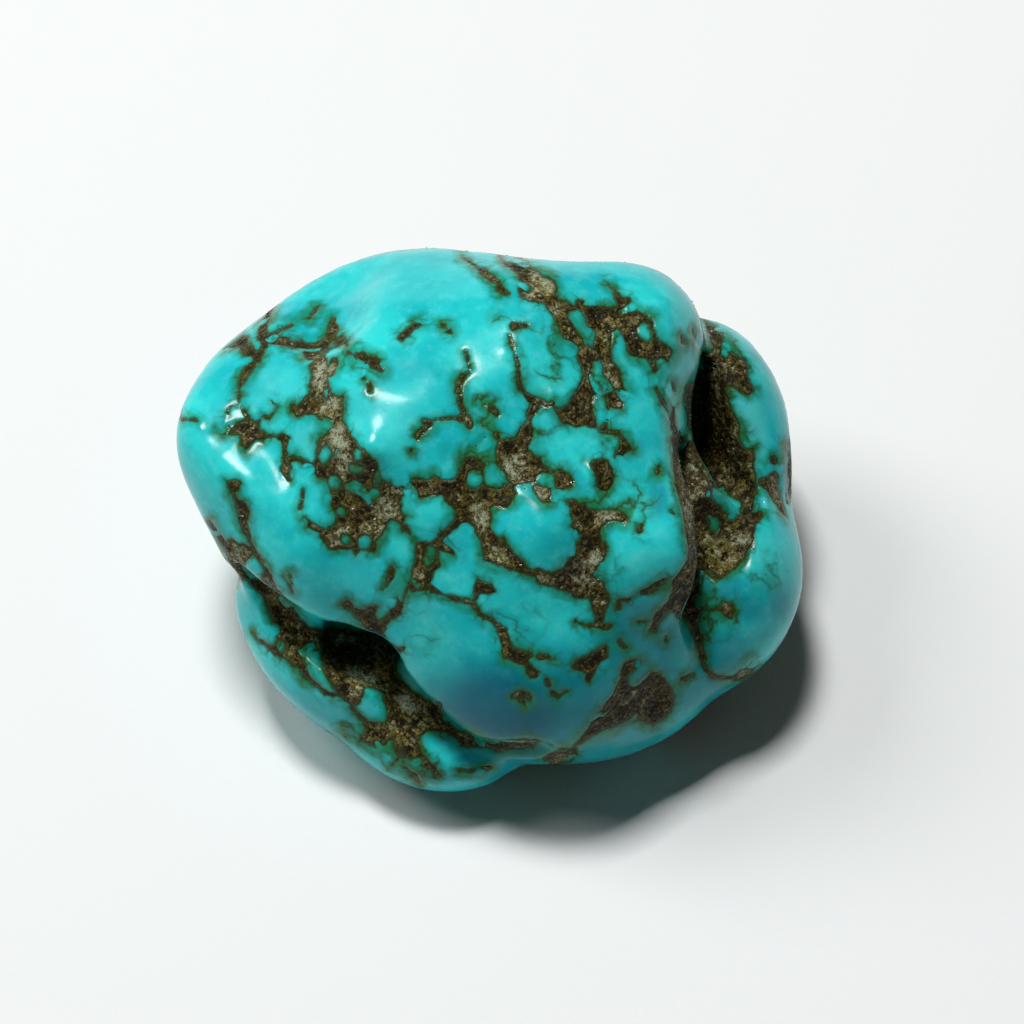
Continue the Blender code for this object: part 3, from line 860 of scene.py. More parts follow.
def rolled(axes, degrees):
    """Three directions turned about the third: cosine and sine shares of the first two."""
    cosine = math.cos(math.radians(degrees))
    sine = math.sin(math.radians(degrees))
    return np.array(((cosine, sine, 0.0), (-sine, cosine, 0.0), (0.0, 0.0, 1.0))) @ axes


def ellipsoid_gap(points, centre, axes, radii):
    """The distance, true close to the surface, to an ellipsoid along three directions.

    It is k (k - 1) / m, where k is the length of the point over the half-widths, and m that of
    the point over their squares.
    """
    scaled = (points - centre) @ (axes.T / radii)
    spread = length(scaled)
    return spread * (spread - 1) / np.maximum(length(scaled / radii), TINY)


def slot_gap(points, floor, outward):
    """The distance to a slot: a tube along the floor, swept out of the stone for ever.

    Above the floor only what is square to the way out counts, and the radius goes evenly from
    one point of the floor to the next.
    """
    nearest = np.full(points.shape[:-1], np.inf)
    for (start, start_radius), (end, end_radius) in zip(floor[:-1], floor[1:]):
        along = end - start
        level = along - outward * (along @ outward)
        share = np.clip((points - start) @ level / (level @ level), 0, 1)
        away = points - start - share[..., None] * along
        rise = np.maximum(away @ outward, 0)
        radius = start_radius + share * (end_radius - start_radius)
        gap = length(away - rise[..., None] * outward) - radius
        nearest = np.minimum(nearest, gap)
    return nearest


def lobes_gap(points):
    """The distance to the lobes, each joined smoothly to those before it."""
    joined = np.full(points.shape[:-1], np.inf)
    for map_x, map_y, depth, *radii, roll, blend in LOBES.values():
        centre = on_sight_line(map_x, map_y, depth)
        gap = ellipsoid_gap(points, centre, rolled(FACE_AXES, roll), np.array(radii))
        joined = smooth_join(joined, gap, blend)
    for x, y, z, *radii, turn, blend in FAR_LOBES.values():
        centre = FACE_FOOT + np.array((x, y, z))
        gap = ellipsoid_gap(points, centre, rolled(np.eye(3), turn), np.array(radii))
        joined = smooth_join(joined, gap, blend)
    return joined


def on_lobes(map_x, map_y):
    """The place where a sight line meets the lobes, walked to by shares of the gap."""
    depth = MARCH_FROM
    for _ in range(MARCH_STEPS):
        depth -= MARCH_SHARE * float(lobes_gap(on_sight_line(map_x, map_y, depth)))
    return on_sight_line(map_x, map_y, depth)


def far_side(heading, pitch):
    """The place where a ray from the stone's middle leaves the lobes, and its direction.

    The walk comes inwards by shares of the gap.
    """
    heading = math.radians(heading)
    pitch = math.radians(pitch)
    level = math.cos(pitch)
    ray = np.array((math.cos(heading) * level, math.sin(heading) * level, math.sin(pitch)))
    reach = MARCH_FROM
    for _ in range(MARCH_STEPS):
        reach -= MARCH_SHARE * float(lobes_gap(FACE_CENTRE + ray * reach))
    return FACE_CENTRE + ray * reach, ray


class Stone:
    """The stone as one signed distance, negative inside."""

    def __init__(self):
        """Finds the bumps' middles, and the way out and the floor of each hollow.

        A floor's point lies its depth less its radius below the lobes, against the way out.
        """
        self.bumps = []
        for map_x, map_y, sink, radius in BUMPS.values():
            self.bumps.append((on_lobes(map_x, map_y) - sink * FACE_AXES[2], radius))
        self.hollows = []
        for blend, lean, *places in HOLLOWS.values():
            outward = np.array((*lean, 1.0)) @ FACE_AXES
            outward /= length(outward)
            floor = []
            for map_x, map_y, depth, radius in places:
                floor.append((on_lobes(map_x, map_y) - (depth - radius) * outward, radius))
            self.hollows.append((blend, outward, floor))
        for blend, *places in FAR_HOLLOWS.values():
            mouths = [far_side(heading, pitch) for heading, pitch, *_ in places]
            outward = sum(ray for _, ray in mouths)
            outward /= length(outward)
            floor = []
            for (mouth, _), (_, _, depth, radius) in zip(mouths, places):
                floor.append((mouth - (depth - radius) * outward, radius))
            self.hollows.append((blend, outward, floor))

    def gap(self, points):
        """The distance to the lobes and bumps joined, less the hollows and what is under z = 0."""
        body = lobes_gap(points)
        for middle, radius in self.bumps:
            body = smooth_join(body, length(points - middle) - radius, BUMP_BLEND)
        for blend, outward, floor in self.hollows:
            body = smooth_cut(body, slot_gap(points, floor, outward), blend)
        return smooth_cut(body, points[..., 2], BASE_BLEND)

    def settled(self, points):
        """Points moved onto the surface: each time by the gap over the slope, along the slope."""
        for _ in range(SETTLE_STEPS):
            gap = self.gap(points)
            slope = np.empty_like(points)
            for axis, nudge in enumerate(np.eye(3) * NUDGE):
                slope[:, axis] = (self.gap(points + nudge) - gap) / NUDGE
            steep = np.maximum((slope * slope).sum(axis=1), LEAST_SLOPE)
            points = points - slope * (gap / steep)[:, None]
        return points


def blurred(field):
    """The field with no thin wall or gap: along each axis a half of each value and a quarter of
    the value on either side.
    """
    for axis in range(3):
        sides = np.moveaxis(field, axis, 0)
        middle = (sides[:-2] + 2 * sides[1:-1] + sides[2:]) / 4
        field = np.moveaxis(np.concatenate((sides[:1], middle, sides[-1:])), 0, axis)
    return field


def net_of(inside):
    """A net around the corners that are inside: the cells it knots in, and its squares.

    Each cell of the grid whose corners aren't all alike holds one knot. Each grid line that
    passes from inside to outside is ringed by one square, through the knots of its four cells.
    """
    near_all = inside[:-1] & inside[1:]
    near_any = inside[:-1] | inside[1:]
    for axis in (1, 2):
        near_all = np.moveaxis(near_all, axis, 0)
        near_any = np.moveaxis(near_any, axis, 0)
        near_all = np.moveaxis(near_all[:-1] & near_all[1:], 0, axis)
        near_any = np.moveaxis(near_any[:-1] | near_any[1:], 0, axis)
    knotted = near_any & ~near_all
    number = np.cumsum(knotted.ravel()).reshape(knotted.shape) - 1

    squares = []
    for axis in range(3):
        sides = np.moveaxis(inside, axis, 0)[:, 1:-1, 1:-1]
        cells = np.moveaxis(number, axis, 0)
        ring = (cells[:, :-1, :-1], cells[:, 1:, :-1], cells[:, 1:, 1:], cells[:, :-1, 1:])
        # A ring about the middle axis turns the other way from those about the other two.
        outward_along = (1, -1, 1)[axis]
        for leaving, order in ((True, outward_along), (False, -outward_along)):
            crossed = (sides[:-1] == leaving) & (sides[1:] != leaving)
            squares.append(np.stack([corner[crossed] for corner in ring], axis=1)[:, ::order])
    return np.argwhere(knotted), np.concatenate(squares)


def lattice(cells, seed):
    """A number from 0 to 1 for each whole cell, mixed from its three numbers."""
    x, y, z = (cells[..., axis] * mix for axis, mix in enumerate(CELL_MIX))
    mixed = x ^ y ^ z ^ (seed * SEED_MIX)
    mixed = (mixed ^ (mixed >> 13)) * BIT_MIX
    return ((mixed ^ (mixed >> 16)) & BITS_KEPT) / BITS_KEPT


def drift(points, grain, seed):
    """Smooth noise from -1 to 1: lattice numbers a grain apart, eased through each cell."""
    place = points / grain
    cell = np.floor(place).astype(np.int64)
    share = place - cell
    share = share * share * (3 - 2 * share)
    total = np.zeros(len(points))
    for corner in itertools.product((0, 1), repeat=3):
        weight = np.prod(np.where(corner, share, 1 - share), axis=1)
        total += weight * lattice(cell + np.array(corner), seed)
    return 2 * total - 1


def noise(points, layers):
    """The sum of layers of smooth noise, each times its strength."""
    return sum(strength * drift(points, grain, seed) for strength, grain, seed in layers)


def wall_gap(points, grain, seed):
    """How far a point is from the walls between scattered cells.

    One seed point lies at random in each cell of a lattice. The gap is half of the distance to
    the second nearest seed point less that to the nearest.
    """
    place = points / grain
    cell = np.floor(place).astype(np.int64)
    nearest = np.full(len(points), np.inf)
    second = nearest
    for step in itertools.product((-1, 0, 1), repeat=3):
        home = cell + np.array(step)
        spot = np.stack([lattice(home, seed + axis) for axis in range(3)], axis=1)
        away = length(home + spot - place)
        second = np.minimum(second, np.maximum(nearest, away))
        nearest = np.minimum(nearest, away)
    return (second - nearest) * grain / 2


def eased(value, low, high):
    """0 below low, 1 above high and 3 s² - 2 s³ of the share s between."""
    share = np.clip((value - low) / (high - low), 0, 1)
    return share * share * (3 - 2 * share)


def on_map(points):
    """The places of the face map that the points are seen at: on_sight_line turned round."""
    away = (points - FACE_CENTRE) @ FACE_AXES.T
    step = FACE_STEP * (VIEW_RANGE - away[:, 2]) / VIEW_RANGE
    return np.stack((FACE_MIDDLE + away[:, 0] / step, FACE_MIDDLE - away[:, 1] / step), axis=1)


def near(places, low, high):
    """The numbers of the places in a box widened by the reach of a marking."""
    inside = ((places > low - MARK_REACH) & (places < high + MARK_REACH)).all(axis=1)
    return np.flatnonzero(inside)


def to_segment(places, start, end):
    """The distance from places to a straight segment, and how far along it is the nearest point."""
    along = end - start
    share = np.clip((places - start) @ along / max(along @ along, TINY), 0, 1)
    return length(places - start - share[:, None] * along), share


def outline_depth(places, outline):
    """How deep places are inside a closed outline, negative outside.

    The size is the distance to the nearest side. A place is inside if a ray from it to the right
    crosses an odd number of sides.
    """
    corners = np.array(outline, float)
    depth = np.full(len(places), -MARK_REACH)
    chosen = near(places, corners.min(axis=0), corners.max(axis=0))
    x, y = places[chosen].T
    nearest = np.full(len(chosen), np.inf)
    inside = np.zeros(len(chosen), bool)
    for start, end in zip(corners, np.roll(corners, -1, axis=0)):
        nearest = np.minimum(nearest, to_segment(places[chosen], start, end)[0])
        if start[1] != end[1]:
            crossing = start[0] + (y - start[1]) * (end[0] - start[0]) / (end[1] - start[1])
            inside ^= ((start[1] > y) != (end[1] > y)) & (x < crossing)
    depth[chosen] = np.maximum(np.where(inside, nearest, -nearest), -MARK_REACH)
    return depth


def stroke_depth(places, stroke):
    """How deep places are inside a stroke: its half-width there less the distance to its line."""
    points = np.array(stroke, float)
    depth = np.full(len(places), -MARK_REACH)
    chosen = near(places, points[:, :2].min(axis=0), points[:, :2].max(axis=0))
    best = np.full(len(chosen), -MARK_REACH)
    for start, end in zip(points[:-1], points[1:]):
        away, share = to_segment(places[chosen], start[:2], end[:2])
        best = np.maximum(best, start[2] + share * (end[2] - start[2]) - away)
    depth[chosen] = best
    return depth


def round_share(places, x, y, across, up, roll):
    """How far places are out from the middle of an ellipse, as a share of the way to its rim."""
    turn = math.radians(roll)
    axes = np.array(((math.cos(turn), math.sin(turn)), (-math.sin(turn), math.cos(turn))))
    return length((places - (x, y)) @ axes.T / (across, up))


def face_depth(places):
    """How deep the show face's places are inside the matrix, in steps of the face map."""
    depth = np.full(len(places), -MARK_REACH)
    for outline in PATCHES.values():
        depth = np.maximum(depth, outline_depth(places, outline))
    for stroke in VEINS:
        depth = np.maximum(depth, stroke_depth(places, stroke))
    for outline in ISLANDS:
        depth = np.minimum(depth, -outline_depth(places, outline))
    for x, y, across, up, roll in ROUND_ISLANDS:
        out = (round_share(places, x, y, across, up, roll) - 1) * min(across, up)
        depth = np.minimum(depth, np.maximum(out, -MARK_REACH))
    return depth


def spots(places, table):
    """The strength of soft round tints: the strongest at each place, eased from rim to core."""
    strength = np.zeros(len(places))
    for x, y, across, up, roll, full in table:
        out = round_share(places, x, y, across, up, roll)
        strength = np.maximum(strength, full * eased(-out, -SPOT_RIM, -SPOT_CORE))
    return strength


def far_depth(points):
    """How deep the far sides' points are inside the matrix, in steps of the face map.

    Veins follow the walls between scattered cells, wide where a slow noise is high and gone where
    it is low. A finer web fills the places where a second noise is high.
    """
    away = [drift(points, WANDER_GRAIN, WANDER_SEED + axis) for axis in range(3)]
    bent = points + WANDER * np.stack(away, axis=1)
    width = VEIN_WIDTH + noise(points, VEIN_SWING)
    veins = width - wall_gap(bent, VEIN_SPACING, VEIN_SEED)
    zone = noise(points, WEB_ZONE)
    web = np.minimum(WEB_WIDTH, WEB_GROWTH * (zone - WEB_FROM))
    web = web - wall_gap(bent, WEB_SPACING, WEB_SEED)
    return np.clip(np.maximum(veins, web) / FACE_STEP, -MARK_REACH, MARK_REACH)


def normals_of(points, triangles):
    """Each point's normal: the mean of its triangles' normals, weighted by their areas."""
    first, second, third = points[triangles[:, 0]], points[triangles[:, 1]], points[triangles[:, 2]]
    facing = np.cross(second - first, third - first)
    total = np.zeros_like(points)
    for corner in triangles.T:
        for axis in range(3):
            total[:, axis] += np.bincount(corner, facing[:, axis], len(points))
    return total / length(total)[:, None]


def face_share(points, normals):
    """1 where a point faces the viewpoint of the face map, 0 where it turns away.

    It is the cosine of the angle between the normal and the sight line, eased.
    """
    eye = FACE_CENTRE + VIEW_RANGE * FACE_AXES[2]
    sight = eye - points
    return eased((normals * sight).sum(axis=1) / length(sight), 0.0, FULLY_SHOWN)


def matrix_depth(points, normals):
    """How deep points are inside the matrix, and how much they belong to the show face.

    The depth is the show face's times that share and the far sides' times what is left.
    """
    shown = face_share(points, normals)
    depth = np.full(len(points), -MARK_REACH)
    front = np.flatnonzero(shown > 0)
    depth[front] = face_depth(on_map(points[front]))
    back = np.flatnonzero(shown < 1)
    depth[back] = depth[back] * shown[back] + far_depth(points[back]) * (1 - shown[back])
    return depth, shown


def split_long(points, triangles, longest):
    """Triangles with each side over its longest length halved: new points and triangles.

    A triangle with one long side becomes two, with two three, and with three four.
    """
    start = triangles.ravel()
    end = np.roll(triangles, -1, axis=1).ravel()
    keys, which = np.unique(
        np.minimum(start, end) * len(points) + np.maximum(start, end), return_inverse=True
    )
    start, end = np.divmod(keys, len(points))
    allowed = np.minimum(longest[start], longest[end])
    long = length(points[start] - points[end]) > allowed
    number = np.full(len(keys), -1)
    number[long] = len(points) + np.arange(long.sum())
    cut = number[which].reshape(-1, 3)
    middles = (points[start[long]] + points[end[long]]) / 2

    count = (cut >= 0).sum(axis=1)
    parts = [triangles[count == 0]]
    a, b, c = triangles[count == 3].T
    ab, bc, ca = cut[count == 3].T
    for corners in ((a, ab, ca), (ab, b, bc), (ca, bc, c), (ab, bc, ca)):
        parts.append(np.stack(corners, axis=1))
    for cuts in (1, 2):
        odd = (cut[count == cuts] >= 0) if cuts == 1 else (cut[count == cuts] < 0)
        turned = (np.argmax(odd, axis=1)[:, None] + np.arange(3)) % 3
        a, b, c = np.take_along_axis(triangles[count == cuts], turned, axis=1).T
        ab, bc, ca = np.take_along_axis(cut[count == cuts], turned, axis=1).T
        if cuts == 1:
            made = ((a, ab, c), (ab, b, c))
        else:
            made = ((c, ca, bc), (a, b, bc), (a, bc, ca))
        for corners in made:
            parts.append(np.stack(corners, axis=1))
    return np.concatenate((points, middles)), np.concatenate(parts), len(points)


def evened(points, triangles, stone, rounds):
    """The points drawn towards the mean of their neighbours and settled on the stone again."""
    first = triangles.ravel()
    second = np.roll(triangles, -1, axis=1).ravel()
    neighbours = np.bincount(first, minlength=len(points))[:, None]
    for _ in range(rounds):
        sums = [np.bincount(first, points[second, axis], len(points)) for axis in range(3)]
        mean = np.stack(sums).T / neighbours
        points = stone.settled(points + RELAX_SHARE * (mean - points))
    return points


def bare_skin(stone):
    """The stone's surface as points and triangles, finest along the edges of the matrix.

    A net of cells is drawn tight onto the law and cut into triangles. Then sides longer than
    their place allows are halved, and the new points settle on the law.
    """
    sides = [np.arange(low, high, NET_CELL) for low, high in zip(SEARCH_LOW, SEARCH_HIGH)]
    corners = np.stack(np.meshgrid(*sides, indexing="ij"), axis=-1)
    cells, squares = net_of(blurred(stone.gap(corners)) < 0)
    points = stone.settled(SEARCH_LOW + (cells + 0.5) * NET_CELL)
    triangles = np.concatenate((squares[:, (0, 1, 2)], squares[:, (0, 2, 3)]))
    points = evened(points, triangles, stone, RELAX_ROUNDS)
    for _ in range(SPLIT_ROUNDS):
        depth, shown = matrix_depth(points, normals_of(points, triangles))
        outside = np.maximum(-depth * FACE_STEP - FINE_MARGIN, 0)
        longest = np.minimum(FINE_SIDE + SIDE_GROWTH * outside, COARSE_SIDE)
        hidden = np.maximum(HIDDEN_GROWTH * longest, HIDDEN_SIDE)
        longest = shown * longest + (1 - shown) * hidden
        points, triangles, old = split_long(points, triangles, longest)
        points[old:] = stone.settled(points[old:])
    return evened(points, triangles, stone, LAST_ROUNDS), triangles


def bulge(places):
    """How far the show face swells at places of the face map, in millimetres.

    Each swell and ridge falls off as a bell curve of the distance over its half-width.
    """
    rise = np.zeros(len(places))
    for x, y, across, up, roll, full in SWELLS:
        rise += full * np.exp(-(round_share(places, x, y, across, up, roll) ** 2))
    for half_width, full, line in RIDGES:
        corners = np.array(line, float)
        away = [to_segment(places, start, end)[0] for start, end in zip(corners[:-1], corners[1:])]
        rise += full * np.exp(-((np.min(away, axis=0) / half_width) ** 2))
    return rise


def carved(points, triangles, depth, shown, settings):
    """The skin with its relief, in millimetres.

    Along its normal, matrix sinks below the turquoise by one eased step at its edge and another
    where it is wide, and grit stands up from it. The turquoise swells and dips a little. The show
    face bulges straight out, which leaves its outline as it is.
    """
    normals = normals_of(points, triangles)
    inward = depth * FACE_STEP
    sink = settings.edge_drop * eased(inward, *EDGE_STEP)
    sink += settings.patch_drop * eased(inward, *PATCH_STEP)
    rise = settings.grit_height * noise(points, GRIT) * eased(inward, *GRIT_START)
    rise += noise(points, SWELL) * (1 - eased(inward, *SWELL_END)) - sink
    bulging = bulge(on_map(points)) * shown
    points = points + normals * rise[:, None] + FACE_AXES[2] * bulging[:, None]
    points[:, 2] = np.maximum(points[:, 2], 0)
    return points


def filled_mesh(name, points, triangles, smooth):
    """A mesh of these triangles and points, which come in millimetres."""
    mesh = bpy.data.meshes.new(name)
    mesh.vertices.add(len(points))
    mesh.vertices.foreach_set("co", (points * METRES).astype(np.float32).ravel())
    mesh.loops.add(triangles.size)
    mesh.loops.foreach_set("vertex_index", triangles.astype(np.int32).ravel())
    mesh.polygons.add(len(triangles))
    mesh.polygons.foreach_set("loop_start", np.arange(0, triangles.size, 3, dtype=np.int32))
    mesh.polygons.foreach_set("use_smooth", np.full(len(triangles), smooth))
    mesh.update(calc_edges=True)
    mesh.validate()
    return mesh


def painted(mesh, name, values):
    """Writes one number for each point of the mesh."""
    attribute = mesh.attributes.new(name, "FLOAT", "POINT")
    attribute.data.foreach_set("value", values.astype(np.float32))


def numbers_of(items, name, each=1, kind=np.float32):
    """One value of each item of a mesh as an array, with this many numbers to an item."""
    numbers = np.empty(len(items) * each, kind)
    items.foreach_get(name, numbers)
    return numbers


def shown_piece(mesh, material):
    """The mesh as an object of the scene with one material."""
    mesh.materials.append(material)
    piece = bpy.data.objects.new(mesh.name, mesh)
    bpy.context.scene.collection.objects.link(piece)
    return piece


def skin_tints(points, shown):
    """The tints of the skin at each point, by name.

    On the show face they are the laid-out spots, of which the deep and pale ones are partly
    painted shade and painted light; on the far sides slow noises cut at a level.
    """
    places = on_map(points)
    tints = {}
    for seed, (name, table) in enumerate(TINTS.items()):
        layers = [(strength, grain, first + seed) for strength, grain, first in FAR_TINT]
        far = eased(noise(points, layers), *FAR_TINT_LEVELS)
        tints[name] = spots(places, table) * shown + FAR_TINT_STRENGTH * far * (1 - shown)
    return tints


def scattered(points, triangles, weights, count, random):
    """Random places on the triangles, with the normal and the triangle of each.

    A triangle's chance is its area times its weight. A place is its first corner plus random
    shares of two sides, folded back where they add up to more than 1.
    """
    first, second, third = (points[triangles[:, corner]] for corner in range(3))
    facing = np.cross(second - first, third - first)
    area = length(facing)
    chance = area * weights
    chosen = random.choice(len(triangles), count, p=chance / chance.sum())
    along, across = random.random((2, count))
    folded = along + across > 1
    along = np.where(folded, 1 - along, along)[:, None]
    across = np.where(folded, 1 - across, across)[:, None]
    start = first[chosen]
    places = start + along * (second[chosen] - start) + across * (third[chosen] - start)
    return places, facing[chosen] / area[chosen, None], chosen


def crystals(places, normals, sizes, random):
    """Eight-faced crystals, each stretched and turned at random and sunk along the normal.

    A crystal's corners are the unit axes times three random half-widths, times a random turn
    that is made from three random directions set square to one another.
    """
    count = len(places)
    stretch = sizes[:, None] * random.uniform(*CRYSTAL_STRETCH, (count, 3))
    turns, _ = np.linalg.qr(random.normal(size=(count, 3, 3)))
    turns[:, :, 0] *= np.sign(np.linalg.det(turns))[:, None]
    corners = OCTAHEDRON * stretch[:, None, :] @ turns
    sunk = CRYSTAL_SUNK * sizes[:, None, None] * normals[:, None, :]
    points = places[:, None, :] - sunk + corners
    faces = OCTAHEDRON_FACES + len(OCTAHEDRON) * np.arange(count)[:, None, None]
    return points.reshape(-1, 3), faces.reshape(-1, 3)


class Signal:
    """A shader value that sums are written with: each operation adds its Math node."""

    def __init__(self, recipe, socket):
        self.recipe = recipe
        self.socket = socket

    def maths(self, operation, first, second=0.0, clamp=False):
        """The output of a new Math node."""
        settings = {"operation": operation, "use_clamp": clamp}
        return self.recipe.add("ShaderNodeMath", settings, {0: first, 1: second})

    def __add__(self, other):
        return self.maths("ADD", self, other)

    def __sub__(self, other):
        return self.maths("SUBTRACT", self, other)

    def __rsub__(self, other):
        return self.maths("SUBTRACT", other, self)

    def __mul__(self, other):
        return self.maths("MULTIPLY", self, other)

    __radd__ = __add__
    __rmul__ = __mul__

    def clamped(self):
        """The value held between 0 and 1."""
        return self.maths("MULTIPLY", self, 1.0, clamp=True)


class Recipe:
    """The nodes of one material."""

    def __init__(self, name):
        """A new material, whose patterns read Object coordinates turned to millimetres."""
        self.material = bpy.data.materials.new(name)
        self.material.use_nodes = True
        self.tree = self.material.node_tree
        self.shader = self.tree.nodes["Principled BSDF"]
        spot = self.add("ShaderNodeTexCoord", {}, {}, "Object")
        self.place = self.add(
            "ShaderNodeVectorMath", {"operation": "SCALE"}, {0: spot, "Scale": 1 / METRES}
        )

    def add(self, kind, settings, values, output=0):
        """One output of a new node, with its settings and the values or links of its sockets."""
        node = self.tree.nodes.new(kind)
        for name, setting in settings.items():
            setattr(node, name, setting)
        self.feed(node, values)
        return Signal(self, node.outputs[output])

    def feed(self, node, values):
        """Links or sets the sockets of a node, and a colour gets its alpha."""
        for name, value in values.items():
            if isinstance(value, Signal):
                self.tree.links.new(value.socket, node.inputs[name])
            elif node.inputs[name].type == "RGBA":
                node.inputs[name].default_value = (*value, 1.0)
            else:
                node.inputs[name].default_value = value

    def attribute(self, name):
        """A number that was painted on the mesh."""
        return self.add("ShaderNodeAttribute", {"attribute_name": name}, {}, "Fac")

    def noise(self, scale, detail=2.0, roughness=0.5):
        """Noise from 0 to 1 with about this many waves to a millimetre."""
        values = {"Vector": self.place, "Scale": scale, "Detail": detail, "Roughness": roughness}
        return self.add("ShaderNodeTexNoise", {}, values, "Fac")

    def cells(self, scale, output):
        """A cell pattern with about this many cells to a millimetre."""
        values = {"Vector": self.place, "Scale": scale}
        return self.add("ShaderNodeTexVoronoi", {}, values, output)

    def magnitude(self, signal):
        """A number without its sign."""
        return self.add("ShaderNodeMath", {"operation": "ABSOLUTE"}, {0: signal})

    def red_of(self, colour):
        """The red part of a colour, as a number."""
        return self.add("ShaderNodeSeparateColor", {}, {0: colour}, 0)

    def mixed(self, share, first, second):
        """Two colours mixed: the first where the share is 0 and the second where it is 1."""
        settings = {"data_type": "RGBA"}
        return self.add("ShaderNodeMix", settings, {0: share, 6: first, 7: second}, 2)

    def bumped(self, height):
        """A normal for a height in millimetres."""
        return self.add("ShaderNodeBump", {}, {"Height": height, "Distance": METRES})


def level(signal, low, high):
    """0 below low, 1 above high and a straight rise between, or the other way round."""
    return ((signal - low) * (1 / (high - low))).clamped()


def ranged(signal, least_and_range):
    """The signal times the range, plus the least."""
    least, reach = least_and_range
    return signal * reach + least


def skin_material(settings):
    """Waxy turquoise with rough matrix in it.

    The matrix attribute, in millimetres, is bent by noise and cut at a level to tell the two
    apart. Turquoise mixes its colours by clouds, spots, seams and the distance to the rock; of its
    spots, the deep ones are partly painted shade and the pale ones partly painted light and
    highlights. Rock mixes by the tone of its cells. Each has its own relief and roughness.
    """
    recipe = Recipe("turquoise")
    depth = recipe.attribute("matrix")
    green = recipe.attribute("green")
    islets = level(recipe.noise(0.9, 0.0), 0.64, 0.74) * 0.4
    ragged = (recipe.noise(1.5, 4.0, 0.6) - 0.5) * 0.45 + depth - islets
    mask = level(ragged, 0.03, 0.12)
    rim = level(ragged, -0.09, 0.03)
    fringe = level((recipe.noise(0.5, 2.0) - 0.5) * 1.3 + ragged, -0.5, -0.05)
    near_rock = (level(depth, -0.6, -0.05) * 0.55 + green * 1.2).clamped()
    wander = recipe.magnitude(recipe.noise(0.62, 3.0, 0.55) - 0.5)
    seams = level(wander, 0.035, 0.005) * near_rock
    soft_seams = level(wander, 0.11, 0.0) * near_rock

    clouds = level(recipe.noise(0.24, 3.0), 0.38, 0.64)
    mottle = level(recipe.noise(0.9, 5.0, 0.62), 0.42, 0.66)
    milk = level(recipe.noise(1.4, 4.0, 0.6), 0.5, 0.72)
    stone = recipe.mixed(clouds, settings.turquoise, settings.turquoise_rich)
    stone = recipe.mixed(mottle * 0.55, stone, settings.turquoise_rich)
    stone = recipe.mixed(milk * 0.3, stone, settings.turquoise_milk_and_light)
    # The deep tint is partly painted shade on the lower slopes.
    stone = recipe.mixed(recipe.attribute("deep"), stone, settings.turquoise_deep_and_shade)
    # The pale tint is partly painted light and highlights on the top, the ear, the right lobe and
    # the rims.
    stone = recipe.mixed(recipe.attribute("pale") * 0.6, stone, settings.turquoise_milk_and_light)
    greening = (green * (mottle * 0.5 + 0.15) + fringe * 0.7 + soft_seams * 0.7).clamped()
    stone = recipe.mixed(greening, stone, settings.turquoise_green)
    stone = recipe.mixed((seams * 0.75 + rim * 0.9).clamped(), stone, settings.fringe)

    sandy = recipe.attribute("sandy")
    shade = recipe.red_of(recipe.cells(GRAIN_CELLS, "Color"))
    speck = recipe.red_of(recipe.cells(FINE_CELLS, "Color"))
    coarse = recipe.noise(1.1, 5.0, 0.7)
    tarnish = level(recipe.noise(0.5, 2.0), 0.38, 0.62)
    tone = (shade - 0.5) * 0.6 + (speck - 0.5) * 0.55 + (coarse - 0.44) * 2.4 + sandy * 0.6
    tone = tone.clamped()
    rock = recipe.mixed(level(tone, 0.0, 0.35), settings.matrix_dark, settings.matrix_brown)
    olive = (recipe.attribute("olive") * 0.5 + tarnish * 0.5).clamped() * level(tone, 0.05, 0.5)
    rock = recipe.mixed(olive, rock, settings.matrix_olive)
    rock = recipe.mixed(level(tone, 0.45, 1.1), rock, settings.matrix_sand)
    rock = recipe.mixed(level(ragged, 0.3, 0.05) * 0.5, rock, settings.fringe)

    dome = recipe.cells(GRAIN_CELLS, "Distance")
    fine_dome = recipe.cells(FINE_CELLS, "Distance")
    rough_ground = (1 - dome) * GRAIN_RISE + (1 - fine_dome) * FINE_RISE + coarse * CLOD_RISE
    smooth_ground = recipe.noise(2.2, 3.0) * WAVE_RISE + recipe.noise(9.0, 2.0) * TOOTH_RISE
    height = rough_ground * mask + smooth_ground * (1 - mask) - rim * RIM_DIP
    glint = level(speck, 0.84, 0.88)
    rock_polish = ROCK_ROUGHNESS - glint * GLINT_POLISH
    stone_polish = ranged(recipe.noise(1.2, 4.0), STONE_ROUGHNESS)
    recipe.feed(
        recipe.shader,
        {
            "Base Color": recipe.mixed(mask, stone, rock),
            "Roughness": rock_polish * mask + stone_polish * (1 - mask),
            "IOR": STONE_IOR,
            "Normal": recipe.bumped(height),
        },
    )
    return recipe.material


def grain_material(settings):
    """Small hard crystals, from nearly black through brown to glassy sand, by their tone."""
    recipe = Recipe("matrix grains")
    tone = recipe.attribute("tone")
    rock = recipe.mixed(level(tone, 0.1, 0.5), settings.matrix_dark, settings.matrix_brown)
    rock = recipe.mixed(recipe.attribute("olive") * 0.7, rock, settings.matrix_olive)
    rock = recipe.mixed(level(tone, 0.55, 1.1), rock, settings.matrix_sand)
    cloud = recipe.noise(12.0, 3.0)
    recipe.feed(
        recipe.shader,
        {
            "Base Color": recipe.mixed(cloud * 0.35, rock, settings.matrix_dark),
            "Roughness": ranged(cloud, CRYSTAL_ROUGHNESS),
            "IOR": CRYSTAL_IOR,
            "Normal": recipe.bumped(recipe.noise(16.0) * CRYSTAL_RISE),
        },
    )
    return recipe.material


